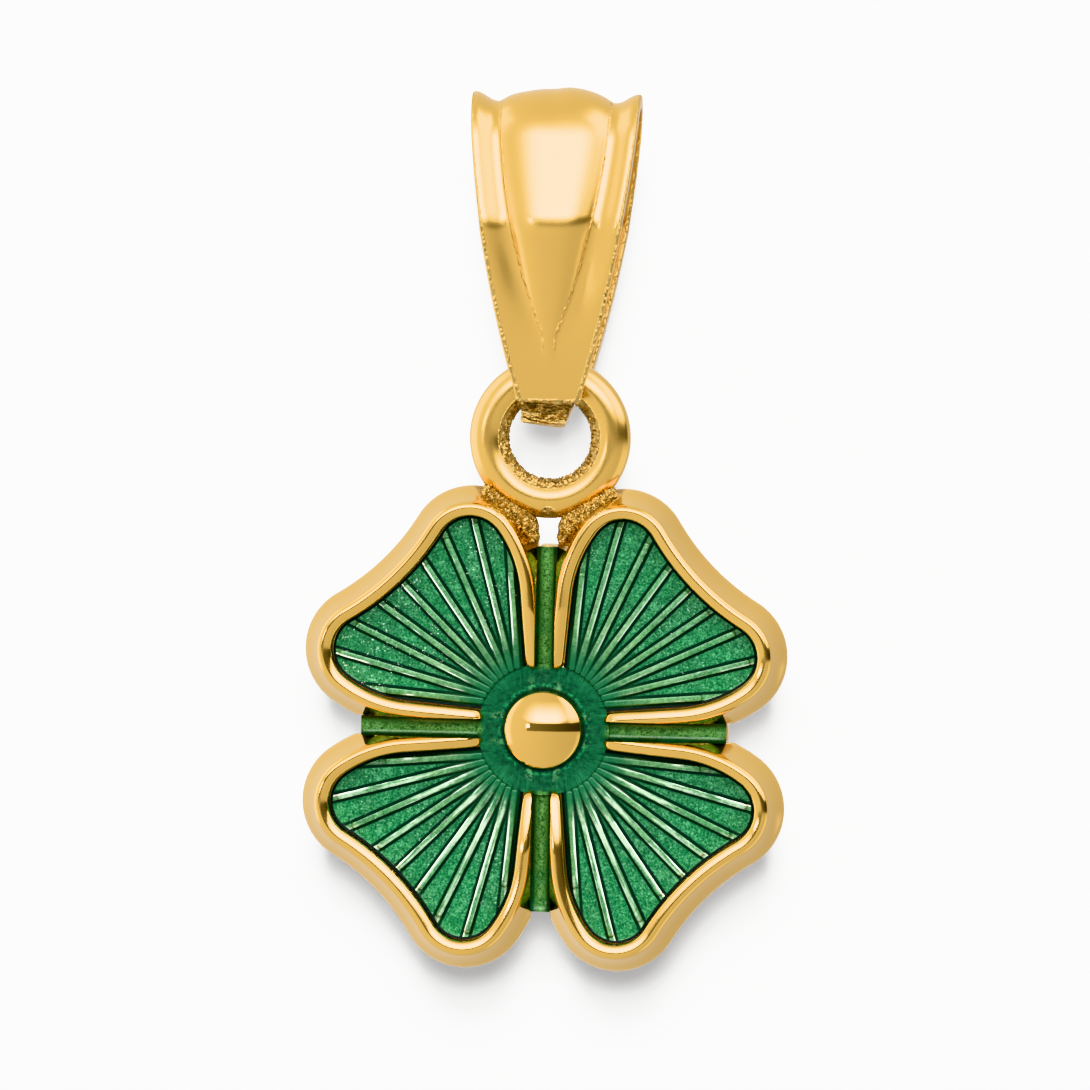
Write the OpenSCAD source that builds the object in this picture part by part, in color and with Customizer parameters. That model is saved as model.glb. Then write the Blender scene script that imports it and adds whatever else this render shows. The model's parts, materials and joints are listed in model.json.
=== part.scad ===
// Four leaf clover charm with a fluted bail: gold with green enamel.
// Millimetres, +Z up, front towards -Y. The origin is the inside top of the bail, where the chain runs.

/* [Leaf outline] */
// From the middle of the dome to the dip in a leaf's enamel
leaf_dip = 3.93; // [3.85:0.01:4.05]
// Radius of the hollow curve at the dip
dip_r = 5; // [4:0.1:6]
// How far the hollow curve turns on each side of the dip, in degrees
dip_turn = 14; // [12:1:16]
// Radius of a leaf's two lobes
lobe_r = 0.67; // [0.6:0.01:0.72]
// How far each lobe turns, in degrees
lobe_turn = 113; // [110:1:116]
// Radius of the curve between a lobe and the straight flank
shoulder_r = 2.36; // [2.2:0.01:2.5]
// Angle between a flank and the channel beside it, in degrees
flank_angle = 5; // [4:0.5:6]

/* [Gold casting] */
// Thickness of the clover at the crest of its rims
clover_t = 1.5; // [1.3:0.05:1.8]
// Width of a rim from the enamel to the widest line of the edge
rim_w = 0.545; // [0.5:0.005:0.6]
// From the enamel to the middle of the crest
crest_in = 0.15; // [0.13:0.01:0.18]
// Radius of the crest
crest_r = 0.12; // [0.1:0.01:0.14]
// Radius of the rim's outer edge
edge_r = 0.3; // [0.26:0.01:0.34]
// Height of the widest line of the edge above the back
edge_rise = 0.65; // [0.6:0.05:0.75]
// How far round the edge turns under before it runs straight to the back, in degrees
edge_turn = 25; // [20:1:30]
// Depth from the crest to the gold under the leaf enamel
leaf_depth = 0.62; // [0.5:0.02:0.7]
// Depth from the crest to the gold under the channel enamel
channel_depth = 0.75; // [0.7:0.02:0.85]
// Width of the channels between the leaves
channel_w = 0.38; // [0.34:0.01:0.42]
// From the middle of the dome to the end of a channel
channel_reach = 3.5; // [3.4:0.02:3.56]
// Radius of the round pool about the dome
pool_r = 1.15; // [1.1:0.01:1.2]
// Radius of the dome
dome_r = 0.74; // [0.68:0.01:0.8]
// Height of the dome's middle above the gold of the pool
dome_rise = 0.35; // [0.25:0.05:0.45]

/* [Enamel] */
// Gap between enamel and gold
enamel_gap = 0.02; // [0.01:0.005:0.03]
// Thickness of the leaf enamel between its ribs
leaf_enamel_t = 0.2; // [0.15:0.01:0.24]
// Thickness of the channel enamel
channel_enamel_t = 0.25; // [0.2:0.01:0.3]
// Number of ribs on a leaf
rib_count = 9; // [5:2:9]
// Angle between neighbouring ribs, in degrees
rib_step = 10; // [9:0.5:10]
// From the middle of the dome to the point that the ribs fan out from
rib_fan = 0.65; // [0.6:0.05:0.7]
// Width of a rib
rib_w = 0.16; // [0.13:0.01:0.18]
// Height of a rib above the enamel
rib_h = 0.08; // [0.05:0.01:0.1]
// How far the ribs stop short of the leaf's outline and of the pool
rib_margin = 0.08; // [0.05:0.01:0.08]

/* [Ring] */
// Radius of the hole in the ring
ring_hole_r = 0.82; // [0.78:0.01:0.9]
// Thickness of the ring's round section
ring_wire = 0.72; // [0.66:0.01:0.76]
// Height of the ring's middle plane above the back of the clover
ring_rise = 0.8; // [0.6:0.05:0.9]
// How far the ring sinks into the two leaves that it is soldered to
solder_lap = 0.145; // [0.1:0.005:0.2]

/* [Bail] */
// Width of the bail at its top
bail_w = 3.24; // [3:0.02:3.5]
// Width of the bail at its foot
foot_w = 0.78; // [0.7:0.02:0.84]
// Height of the bail
bail_h = 6.5; // [6:0.1:7]
// Thickness of the bail's wall
bail_t = 0.38; // [0.34:0.01:0.42]
// Inner radius at the top, where the chain runs
seat_r = 0.86; // [0.8:0.02:0.96]
// Depth of the bail from front to back at its belly
belly_depth = 3.24; // [3:0.02:3.5]
// From the top of the bail down to its belly
belly_drop = 2.6; // [2.4:0.05:2.8]
// Outer radius of the belly
belly_r = 1; // [0.8:0.05:1.2]
// Inner radius at the foot, round the ring
foot_r = 0.58; // [0.55:0.01:0.64]
// Width of the raised middle panel at the bail's top
panel_w = 2.1; // [1.9:0.05:2.3]
// From the top of the bail to the point of the raised panel
panel_reach = 5; // [4.6:0.1:5.1]
// Width of the groove beside the panel
groove_w = 0.14; // [0.1:0.01:0.18]
// Depth of the groove beside the panel
groove_depth = 0.12; // [0.08:0.01:0.14]
// Height of the step where the front wall ends above the foot
lap_h = 0.33; // [0.28:0.01:0.34]
// How far the foot stands back under the end of the front wall
lap_depth = 0.36; // [0.3:0.01:0.4]
// Gap between the ring and the edge of the foot that it hangs on
hang_gap = 0.06; // [0.04:0.01:0.08]

/* [Hidden] */
$fn = 72;
gold = [0.88, 0.71, 0.38];
leaf_green = [0.12, 0.6, 0.31];
channel_green = [0.16, 0.4, 0.2];
leaf_count = 4;
quarter = 360 / leaf_count;
slack = 1;

// Bail: heights are measured from the inside top
bail_top = bail_t;
bail_bottom = bail_top - bail_h;
foot_z = bail_bottom + bail_t + foot_r;
foot_floor = bail_bottom + bail_t;
// The straight walls start this far inside the round parts, so that they cross and don't only touch
wall_tuck = 0.001;
// The sides are arcs that are widest just above the top of the bail
widest_z = bail_top + 0.12;
side_run = widest_z - bail_bottom;
side_cut = (bail_w - foot_w) / 2;
side_r = (side_cut * side_cut + side_run * side_run) / (2 * side_cut);
panel_run = widest_z - bail_top + panel_reach;
panel_r = (panel_w * panel_w / 4 + panel_run * panel_run) / panel_w;

// Half the width of the bail at a height
function bail_half(z) = sqrt(side_r * side_r - (z - widest_z) * (z - widest_z)) - side_r + bail_w / 2;

// Leaf outline: it runs from the dip round a lobe and along a flank, with the leaf on its right.
// A leaf's own X axis runs from the dome to its dip.
function around(angle) = [cos(angle), sin(angle)];
function left_of(heading) = [-sin(heading), cos(heading)];
function turned_right(start, heading, radius, turn) =
    start - radius * left_of(heading) + radius * left_of(heading - turn);
dip_centre = [leaf_dip + dip_r, 0];
lobe_start = dip_centre - dip_r * around(dip_turn);
lobe_heading = dip_turn - 90;
lobe_centre = lobe_start - lobe_r * left_of(lobe_heading);
shoulder_start = turned_right(lobe_start, lobe_heading, lobe_r, lobe_turn);
shoulder_heading = lobe_heading - lobe_turn;
shoulder_turn = quarter / 2 + 90 + dip_turn - lobe_turn - flank_angle;
shoulder_centre = shoulder_start - shoulder_r * left_of(shoulder_heading);
flank_start = turned_right(shoulder_start, shoulder_heading, shoulder_r, shoulder_turn);
flank_heading = shoulder_heading - shoulder_turn;
flank_length = norm(flank_start) - pool_r / 2;
flank_end = flank_start + flank_length * around(flank_heading);

// Section of a rim: across from the enamel's edge and up from the back. A straight slope joins the crest
// and the edge, and both are round.
crest_at = [crest_in, clover_t - crest_r];
edge_at = [rim_w - edge_r, edge_rise];
slope_run = edge_at - crest_at;
slope_angle = atan2(slope_run[1], slope_run[0]) + acos((crest_r - edge_r) / norm(slope_run));
bevel_top = crest_at[1] - crest_at[0] + sqrt(2) * crest_r;

leaf_floor = clover_t - leaf_depth;
channel_floor = clover_t - channel_depth;

// Ring and clover hang from the foot of the bail
ring_mid_r = ring_hole_r + ring_wire / 2;
hang_half = bail_half(foot_floor);
ring_z = foot_floor + hang_gap - sqrt(ring_hole_r * ring_hole_r - hang_half * hang_half);
lobe_away = norm(lobe_centre);
lobe_swing = quarter / 2 + atan2(lobe_centre[1], lobe_centre[0]);
lobe_side = lobe_away * sin(lobe_swing);
lobe_up = lobe_away * cos(lobe_swing);
solder_span = lobe_r + rim_w + ring_hole_r + ring_wire - solder_lap;
ring_up = lobe_up + sqrt(solder_span * solder_span - lobe_side * lobe_side);
clover_z = ring_z - ring_up;

// Half of a leaf's outline, moved out by a distance, from its dip to the end of its flank
function arc_points(centre, radius, from, to, steps) =
    [for (i = [0:steps]) centre + radius * around(from + (to - from) * i / steps)];
function half_outline(out) = concat(
    arc_points(dip_centre, dip_r - out, 180, 180 + dip_turn, 3),
    arc_points(lobe_centre, lobe_r + out, lobe_heading + 90, shoulder_heading + 90, 10),
    arc_points(shoulder_centre, shoulder_r + out, shoulder_heading + 90, flank_heading + 90, 4),
    [flank_end + out * left_of(flank_heading)]);
function backwards(points) = [for (i = [len(points) - 1:-1:1]) points[i]];
function flipped(points) = [for (p = points) [p[0], -p[1]]];

module leaf_area(out) {
    half = half_outline(out);
    polygon(concat(flipped(backwards(half)), half));
}

module rim_section() {
    under = edge_at + edge_r * around(-edge_turn);
    translate(crest_at) circle(r = crest_r);
    translate(edge_at) circle(r = edge_r);
    polygon([
        [0, 0],
        [0, bevel_top],
        crest_at + crest_r * around(135),
        crest_at,
        crest_at + crest_r * around(slope_angle),
        edge_at + edge_r * around(slope_angle),
        edge_at,
        under,
        [under[0] - under[1] * tan(edge_turn), 0]]);
}

module rim_arc(centre, radius, from, turn) {
    translate(centre) rotate_extrude(angle = turn, start = from) translate([radius, 0]) rim_section();
}

module half_rim() {
    rim_arc(lobe_centre, lobe_r, shoulder_heading + 90, lobe_turn);
    rim_arc(shoulder_centre, shoulder_r, flank_heading + 90, shoulder_turn);
    translate(flank_start) rotate([90, 0, flank_heading + 90]) linear_extrude(flank_length) rim_section();
}

module leaf_rim() {
    half_rim();
    mirror([0, 1, 0]) half_rim();
    translate(dip_centre) rotate_extrude(angle = 2 * dip_turn, start = 180 - dip_turn)
        translate([dip_r, 0]) mirror([1, 0]) rim_section();
}

// Everything of the clover stands on its back, with the arms of the cross along X and Y
module each_leaf() {
    for (i = [0:leaf_count - 1]) rotate(quarter * (i + 0.5)) children();
}

module cross_area(width, reach) {
    square([2 * reach, width], center = true);
    square([width, 2 * reach], center = true);
}

module leaves() {
    difference() {
        union() {
            each_leaf() leaf_rim();
            each_leaf() linear_extrude(leaf_floor) leaf_area(rim_w / 3);
            linear_extrude(channel_floor) cross_area(channel_w, channel_reach);
            cylinder(r = pool_r + channel_w / 2, h = channel_floor);
        }
        translate([0, 0, channel_floor]) linear_extrude(clover_t) {
            cross_area(channel_w, channel_reach + slack);
            circle(r = pool_r);
        }
    }
}

// Turns what stands on the clover's back upright, with its front towards -Y
module hung() {
    translate([0, ring_rise, clover_z]) rotate([90, 0, 0]) children();
}

module clover_frame() {
    color(gold) hung() {
        leaves();
        translate([0, 0, channel_floor + dome_rise]) sphere(r = dome_r);
        translate([0, ring_up, ring_rise]) rotate_extrude() translate([ring_mid_r, 0]) circle(d = ring_wire);
    }
}

module rib_area() {
    difference() {
        intersection() {
            for (i = [0:rib_count - 1])
                translate([rib_fan, 0]) rotate((i - (rib_count - 1) / 2) * rib_step)
                    translate([0, -rib_w / 2]) square([2 * leaf_dip, rib_w]);
            leaf_area(-rib_margin);
        }
        circle(r = pool_r + rib_margin);
    }
}

module leaf_enamel(number) {
    color(leaf_green) hung() rotate(quarter * (number - 0.5)) translate([0, 0, leaf_floor + enamel_gap]) {
        linear_extrude(leaf_enamel_t) difference() {
            leaf_area(-enamel_gap);
            circle(r = pool_r + enamel_gap);
        }
        linear_extrude(leaf_enamel_t + rib_h) rib_area();
    }
}

module cross_enamel() {
    color(channel_green) hung() translate([0, 0, channel_floor + enamel_gap]) difference() {
        linear_extrude(channel_enamel_t) {
            cross_area(channel_w - 2 * enamel_gap, channel_reach - 2 * enamel_gap);
            circle(r = pool_r - enamel_gap);
        }
        translate([0, 0, dome_rise - enamel_gap]) sphere(r = dome_r + enamel_gap);
    }
}

// Side view of the bail, drawn in from the outside by a distance: round at the top, at the belly on each
// side and at the foot, with straight walls between. All points are [y, z].
seat_at = [0, -seat_r];
belly_at = [belly_depth / 2 - belly_r, bail_top - belly_drop];
foot_at = [0, foot_z];
function facing(from, from_r, to, to_r) =
    atan2(to[1] - from[1], to[0] - from[0]) + acos((from_r - to_r) / norm(to - from));
upper_facing = facing(seat_at, seat_r + bail_t, belly_at, belly_r);
lower_facing = facing(belly_at, belly_r, foot_at, foot_r + bail_t);
function mirrored(points) = [for (p = points) [-p[0], p[1]]];
function last_first(points) = [for (i = [len(points) - 1:-1:0]) points[i]];

module bail_side(inset) {
    top_r = seat_r + bail_t - inset;
    mid_r = belly_r - inset;
    low_r = foot_r + bail_t - inset;
    wall = [
        seat_at + (top_r - wall_tuck) * around(upper_facing),
        belly_at + (mid_r - wall_tuck) * around(upper_facing),
        belly_at + (mid_r - wall_tuck) * around(lower_facing),
        foot_at + (low_r - wall_tuck) * around(lower_facing)];
    translate(seat_at) circle(r = top_r);
    translate(belly_at) circle(r = mid_r);
    translate([-belly_at[0], belly_at[1]]) circle(r = mid_r);
    translate(foot_at) circle(r = low_r);
    polygon(concat(mirrored(wall), last_first(wall)));
}

// Front view of a band with curved sides, widest just above the top
module tapered_area(radius, half) {
    intersection() {
        translate([radius - half, widest_z]) circle(r = radius, $fn = 360);
        translate([half - radius, widest_z]) circle(r = radius, $fn = 360);
    }
}

module through_side(width) {
    rotate([90, 0, 90]) linear_extrude(width, center = true) children();
}

module through_front(depth) {
    rotate([90, 0, 0]) linear_extrude(depth, center = true) children();
}

module bail() {
    depth = 2 * belly_depth;
    color(gold) difference() {
        intersection() {
            through_side(bail_w) difference() {
                bail_side(0);
                bail_side(bail_t);
            }
            through_front(depth) tapered_area(side_r, bail_w / 2);
        }
        intersection() {
            through_side(bail_w) difference() {
                square(3 * bail_h, center = true);
                bail_side(groove_depth);
            }
            through_front(depth) difference() {
                tapered_area(panel_r + groove_w, panel_w / 2 + groove_w);
                tapered_area(panel_r, panel_w / 2);
            }
        }
        translate([-bail_w, -depth, bail_bottom - slack])
            cube([2 * bail_w, depth - lap_depth, lap_h + slack]);
    }
}

bail();
clover_frame();
leaf_enamel(1);  // leaf_enamel_1
leaf_enamel(2);  // leaf_enamel_2
leaf_enamel(3);  // leaf_enamel_3
leaf_enamel(4);  // leaf_enamel_4
cross_enamel();
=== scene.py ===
import json
import math

import bmesh
import bpy
from bpy.props import FloatProperty, FloatVectorProperty, IntProperty, PointerProperty
from bpy.types import Operator, Panel, PropertyGroup
from mathutils import Matrix, Vector

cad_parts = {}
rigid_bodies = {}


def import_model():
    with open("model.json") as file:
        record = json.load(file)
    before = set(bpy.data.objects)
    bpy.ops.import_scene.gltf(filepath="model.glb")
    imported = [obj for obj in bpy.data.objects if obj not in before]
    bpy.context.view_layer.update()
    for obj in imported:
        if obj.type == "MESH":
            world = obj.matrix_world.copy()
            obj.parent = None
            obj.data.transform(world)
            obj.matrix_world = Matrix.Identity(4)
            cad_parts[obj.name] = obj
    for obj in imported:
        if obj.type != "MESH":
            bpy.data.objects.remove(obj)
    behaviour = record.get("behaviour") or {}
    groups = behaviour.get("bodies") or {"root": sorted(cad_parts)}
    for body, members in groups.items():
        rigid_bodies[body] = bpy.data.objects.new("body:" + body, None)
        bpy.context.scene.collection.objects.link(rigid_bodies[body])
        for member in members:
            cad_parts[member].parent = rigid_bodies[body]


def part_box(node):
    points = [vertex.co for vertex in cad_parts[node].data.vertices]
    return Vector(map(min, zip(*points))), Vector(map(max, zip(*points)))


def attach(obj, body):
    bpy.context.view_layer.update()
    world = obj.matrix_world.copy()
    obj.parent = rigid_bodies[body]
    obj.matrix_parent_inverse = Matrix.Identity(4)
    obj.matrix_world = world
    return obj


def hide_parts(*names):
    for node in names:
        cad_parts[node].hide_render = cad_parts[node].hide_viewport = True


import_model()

bl_info = {
    "name": "Clover charm",
    "version": (1, 0, 0),
    "blender": (4, 5, 0),
    "location": "3D View > Sidebar > Charm",
    "description": "Builds a hanging four leaf clover charm in gold and green enamel",
    "category": "Object",
}

# Pieces are modelled in millimetres and brought to metres at the end.
MM = 0.001
LEAVES = 4
# Steps of a leaf's outline round the dip, a lobe and the shoulder
LEAF_STEPS = (14, 34, 16)
# The rim's section: the round at its crest and the round at its edge, in millimetres, and the
# angle by which that turns under, in degrees
CREST_IN, CREST_RADIUS = 0.15, 0.12
EDGE_RADIUS, EDGE_RISE, EDGE_TURN = 0.3, 0.65, 25
# Where the crest's round begins on the enamel's side, in degrees
LIP_ANGLE = 112
# The middle of the picture at the charm, in metres
VIEW_CENTRE = Vector((-0.00006, 0, -0.00836))
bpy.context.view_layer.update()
BAIL_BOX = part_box("bail")


def mm(length):
    """A length of the settings in millimetres."""
    return length / MM


def around(angle, radius=1.0):
    """A point on a circle about the origin, by its angle in degrees."""
    return Vector((math.cos(math.radians(angle)), math.sin(math.radians(angle)), 0)) * radius


def smooth(x, low, high):
    """0 below low, 1 above high, and a soft step between."""
    t = min(max((x - low) / (high - low), 0), 1)
    return t * t * (3 - 2 * t)


# Hands on the mesh


def bare():
    """Leaves edit mode and deselects everything."""
    if bpy.context.object and bpy.context.object.mode != "OBJECT":
        bpy.ops.object.mode_set(mode="OBJECT")
    bpy.ops.object.select_all(action="DESELECT")


def take(*pieces):
    """Selects pieces alone. The last one is active."""
    bare()
    for piece in pieces:
        piece.select_set(True)
    bpy.context.view_layer.objects.active = pieces[-1]


def edit(piece):
    """Opens a piece in edit mode."""
    take(piece)
    bpy.ops.object.mode_set(mode="EDIT")
    bpy.ops.mesh.select_mode(type="VERT")


def started(name):
    """Names the primitive that was just added and opens it with everything selected."""
    piece = bpy.context.object
    piece.name = piece.data.name = name
    bpy.ops.object.transform_apply(location=True, rotation=True, scale=True)
    bpy.ops.object.mode_set(mode="EDIT")
    bpy.ops.mesh.select_mode(type="VERT")
    bpy.ops.mesh.select_all(action="SELECT")
    return piece


def pick(piece, test, kind="VERT"):
    """Selects the vertices, edges or faces of the open piece that pass a test, and says how many."""
    bpy.ops.mesh.select_mode(type=kind)
    bpy.ops.mesh.select_all(action="DESELECT")
    mesh = bmesh.from_edit_mesh(piece.data)
    found = 0
    for part in {"VERT": mesh.verts, "EDGE": mesh.edges, "FACE": mesh.faces}[kind]:
        if test(part):
            part.select_set(True)
            found += 1
    mesh.select_flush_mode()
    bmesh.update_edit_mesh(piece.data, loop_triangles=False, destructive=False)
    return found


def pen(name, point):
    """Starts a drawn line at a point: a small plane shrunk to one vertex."""
    bare()
    bpy.ops.mesh.primitive_plane_add(size=1)
    piece = started(name)
    bpy.ops.mesh.merge(type="CENTER")
    bpy.ops.transform.translate(value=point)
    return piece


def pull(step):
    """Extrudes what is selected by a step."""
    bpy.ops.mesh.extrude_region_move(TRANSFORM_OT_translate={"value": step})


def sweep(angle, centre, axis, steps):
    """Spins what is selected about an axis, anticlockwise in degrees."""
    bpy.ops.mesh.spin(steps=steps, angle=math.radians(-angle), center=centre, axis=axis)


def turn(angle, centre, axis="Z"):
    """Turns what is selected about an axis, anticlockwise in degrees."""
    bpy.ops.transform.rotate(
        value=math.radians(-angle), orient_axis=axis, orient_type="GLOBAL", center_override=centre
    )


def stretch(factors, centre=(0, 0, 0)):
    """Scales what is selected along X, Y and Z."""
    bpy.ops.transform.resize(value=factors, orient_type="GLOBAL", center_override=centre)


def shift(step):
    """Moves what is selected."""
    bpy.ops.transform.translate(value=step, orient_type="GLOBAL")


def outward():
    """Merges doubles and turns all faces outwards."""
    bpy.ops.mesh.select_mode(type="VERT")
    bpy.ops.mesh.select_all(action="SELECT")
    bpy.ops.mesh.remove_doubles(threshold=0.0005)
    bpy.ops.mesh.normals_make_consistent(inside=False)


def apply_modifier(piece, kind, **settings):
    """Adds a modifier to a piece, sets it and applies it."""
    take(piece)
    bpy.ops.object.modifier_add(type=kind)
    modifier = piece.modifiers[-1]
    for key, value in settings.items():
        setattr(modifier, key, value)
    bpy.ops.object.modifier_apply(modifier=modifier.name)


def join(piece, *others):
    """Joins other pieces into one."""
    take(*others, piece)
    bpy.ops.object.join()
    return piece


def copy_of(piece, name):
    """A copy of a piece with its own mesh."""
    take(piece)
    bpy.ops.object.duplicate(linked=False)
    twin = bpy.context.object
    twin.name = twin.data.name = name
    return twin


def weigh(piece, name, amount):
    """Gives each vertex a weight from 0 to 1 in a named group, from its place."""
    group = piece.vertex_groups.new(name=name)
    for vertex in piece.data.vertices:
        weight = amount(vertex.co)
        if weight > 0:
            group.add([vertex.index], min(weight, 1), "REPLACE")


def mark(piece, name, amount):
    """Stores a number from 0 to 1 for each vertex, from its place, for the material to read."""
    layer = piece.data.attributes.new(name=name, type="FLOAT", domain="POINT")
    for vertex, slot in zip(piece.data.vertices, layer.data):
        slot.value = min(max(amount(vertex.co), 0), 1)


def set_down(piece, front=False):
    """Brings a piece from millimetres to metres. One drawn on the clover's back is first turned upright."""
    take(piece)
    piece.scale = (MM, MM, MM)
    if front:
        piece.rotation_euler = (math.radians(90), 0, 0)
        piece.location = clover_middle()
    bpy.ops.object.transform_apply(location=True, rotation=True, scale=True)


def clover_middle():
    """The point of the clover's back behind the middle of the dome, in metres."""
    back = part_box("clover_frame")[1][1]
    low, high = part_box("cross_enamel")
    return Vector((0, back, (low[2] + high[2]) / 2))


def deliver(piece, body, material, nodes, angle=35):
    """Smooths a finished piece, gives it its material and says what it rides on and stands for."""
    take(piece)
    bpy.ops.object.shade_smooth_by_angle(angle=math.radians(angle))
    piece.data.materials.clear()
    piece.data.materials.append(material)
    piece.vertex_groups.clear()
    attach(piece, body)
    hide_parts(*nodes)
    bare()


def deliver_clover_gold(piece, angle):
    """Hands over a gold piece of the clover."""
    gold = bpy.data.materials["polished_clover_gold"]
    deliver(piece, "clover", gold, ["clover_frame"], angle)


# Settings


def length(name, description, default, precision=5):
    """A length in metres that the panel shows with so many decimals."""
    return FloatProperty(
        name=name, description=description, default=default, unit="LENGTH", precision=precision
    )


class BailSettings(PropertyGroup):
    """Sizes of the bail."""

    width: length("Width", "Width of the bail at its top", BAIL_BOX[1][0] - BAIL_BOX[0][0] + 0.00003)
    foot_width: length("Foot width", "Width of the bail at its foot", 0.00078)
    wall: length("Wall", "Thickness of the folded band", 0.00038)
    seat_radius: length("Seat radius", "Inner radius under the top", 0.00086)
    belly_depth: length("Belly depth", "Depth at the belly, front to back", 0.00324)
    belly_drop: length("Belly drop", "From the top down to the belly", 0.0026)
    belly_radius: length("Belly radius", "Outer radius of the belly", 0.001)
    foot_radius: length("Foot radius", "Inner radius of the foot", 0.00058)
    panel_width: length("Panel width", "Width of the raised panel at the top", 0.0021)
    panel_reach: length("Panel reach", "From the top to the point of the panel", 0.005)
    waist: length("Waist", "How much narrower each side is halfway down", 0.00008)
    flute_depth: length("Flute depth", "Depth of the valleys beside the panel", 0.00029)


class CloverSettings(PropertyGroup):
    """Sizes of the clover's gold casting."""

    leaf_dip: length("Leaf dip", "From the dome's middle to a leaf's dip", 0.00393)
    dip_radius: length("Dip radius", "Radius of the hollow at the dip", 0.005)
    dip_turn: FloatProperty(
        name="Dip turn", description="Turn of the hollow to each side", default=math.radians(14),
        unit="ROTATION"
    )
    lobe_radius: length("Lobe radius", "Radius of the two lobes", 0.00067)
    lobe_turn: FloatProperty(
        name="Lobe turn", description="How far a lobe turns", default=math.radians(113), unit="ROTATION"
    )
    shoulder_radius: length("Shoulder radius", "Radius from lobe to flank", 0.00236)
    flank_angle: FloatProperty(
        name="Flank angle", description="Angle of a flank to its channel", default=math.radians(5),
        unit="ROTATION"
    )
    rim_width: length("Rim width", "Width of a leaf's rim", 0.000545, 6)
    thickness: length("Thickness", "Height of the crest above the back", 0.0015)
    channel_width: length("Channel width", "Width of the channels", 0.00038)
    channel_reach: length("Channel reach", "From the middle to a channel's end", 0.0035)
    channel_floor: length("Channel floor", "Height of the gold under the channels", 0.00075)
    leaf_floor: length("Leaf floor", "Height of the gold under the leaves", 0.00088)
    pool_radius: length("Pool radius", "Radius of the pool about the dome", 0.00115)
    dome_radius: length("Dome radius", "Radius of the dome", 0.00074)
    ring_hole: length("Ring hole", "Radius of the hole in the ring", 0.00082)
    ring_wire: length("Ring wire", "Thickness of the ring", 0.00072)


class EnamelSettings(PropertyGroup):
    """Sizes of the enamel."""

    gap: length("Gap", "Gap between enamel and gold", 0.00002)
    leaf_thickness: length("Leaf enamel", "Thickness between the ribs", 0.0002)
    channel_thickness: length("Channel enamel", "Thickness in the channels", 0.00025)
    rib_count: IntProperty(name="Ribs", description="Number of ribs on a leaf", default=9, min=1, max=15)
    rib_step: FloatProperty(
        name="Rib step", description="Angle between ribs", default=math.radians(10), unit="ROTATION"
    )
    rib_fan: length("Rib fan", "From the dome's middle to the fan's point", 0.00065)
    rib_width: length("Rib width", "Width of a rib", 0.00016)
    rib_height: length("Rib height", "Height of a rib", 0.00008)
    rib_start: length("Rib start", "From the dome's middle to a rib's end", 0.00125)


class FinishSettings(PropertyGroup):
    """Colours and polish."""

    gold: FloatVectorProperty(
        name="Gold", description="Colour of the gold", default=(0.77, 0.49, 0.145), subtype="COLOR",
        size=3, min=0, max=1
    )
    gold_shade: FloatVectorProperty(
        name="Gold in the grain", description="Colour of the gold where the casting is rough",
        default=(0.42, 0.29, 0.11), subtype="COLOR", size=3, min=0, max=1,
    )
    polish: FloatProperty(
        name="Polish", description="Roughness of the brightest polish", default=0.035, min=0, max=1
    )
    satin: FloatProperty(
        name="Satin", description="Roughness of the softest polish", default=0.28, min=0, max=1
    )
    enamel: FloatVectorProperty(
        name="Enamel", description="Colour of the leaf enamel", default=(0.027, 0.14, 0.055),
        subtype="COLOR", size=3,
        min=0, max=1,
    )
    rib: FloatVectorProperty(
        name="Rib enamel", description="Colour of the thin enamel over the ribs",
        default=(0.19, 0.32, 0.145),
        subtype="COLOR", size=3, min=0, max=1,
    )
    # Deep enamel, darkened further as painted shade in the grooves beside the ribs
    groove_and_shade: FloatVectorProperty(
        name="Groove enamel", description="Colour of the deep enamel beside the ribs",
        default=(0.0005, 0.014, 0.006),
        subtype="COLOR", size=3, min=0, max=1,
    )
    channel: FloatVectorProperty(
        name="Channel enamel", description="Colour of the enamel in the channels",
        default=(0.05, 0.15, 0.035),
        subtype="COLOR", size=3, min=0, max=1,
    )


class StageSettings(PropertyGroup):
    """Camera and light."""

    azimuth: FloatProperty(
        name="Azimuth", description="Camera's turn to the right", default=math.radians(3.5),
        unit="ROTATION"
    )
    elevation: FloatProperty(
        name="Elevation", description="Camera's height", default=math.radians(2.75), unit="ROTATION"
    )
    roll: FloatProperty(
        name="Roll", description="Clockwise lean of the charm in the picture", default=math.radians(1.2),
        unit="ROTATION",
    )
    view_width: length("View width", "Width of the picture at the charm", 0.02077)
    distance: FloatProperty(
        name="Distance", description="From the camera to the charm", default=0.3, unit="LENGTH"
    )
    close_light: FloatProperty(
        name="Close light", description="Power of the lamp for the close shadow", default=2.6,
        unit="POWER"
    )
    wide_light: FloatProperty(
        name="Wide light", description="Power of the lamp for the wider shadow", default=6.6,
        unit="POWER"
    )
    wall_distance: length("Wall distance", "From the charm to the wall behind it", 0.0125, 4)


# The leaf's outline, drawn in a leaf's own frame: X from the dome to the dip


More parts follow.
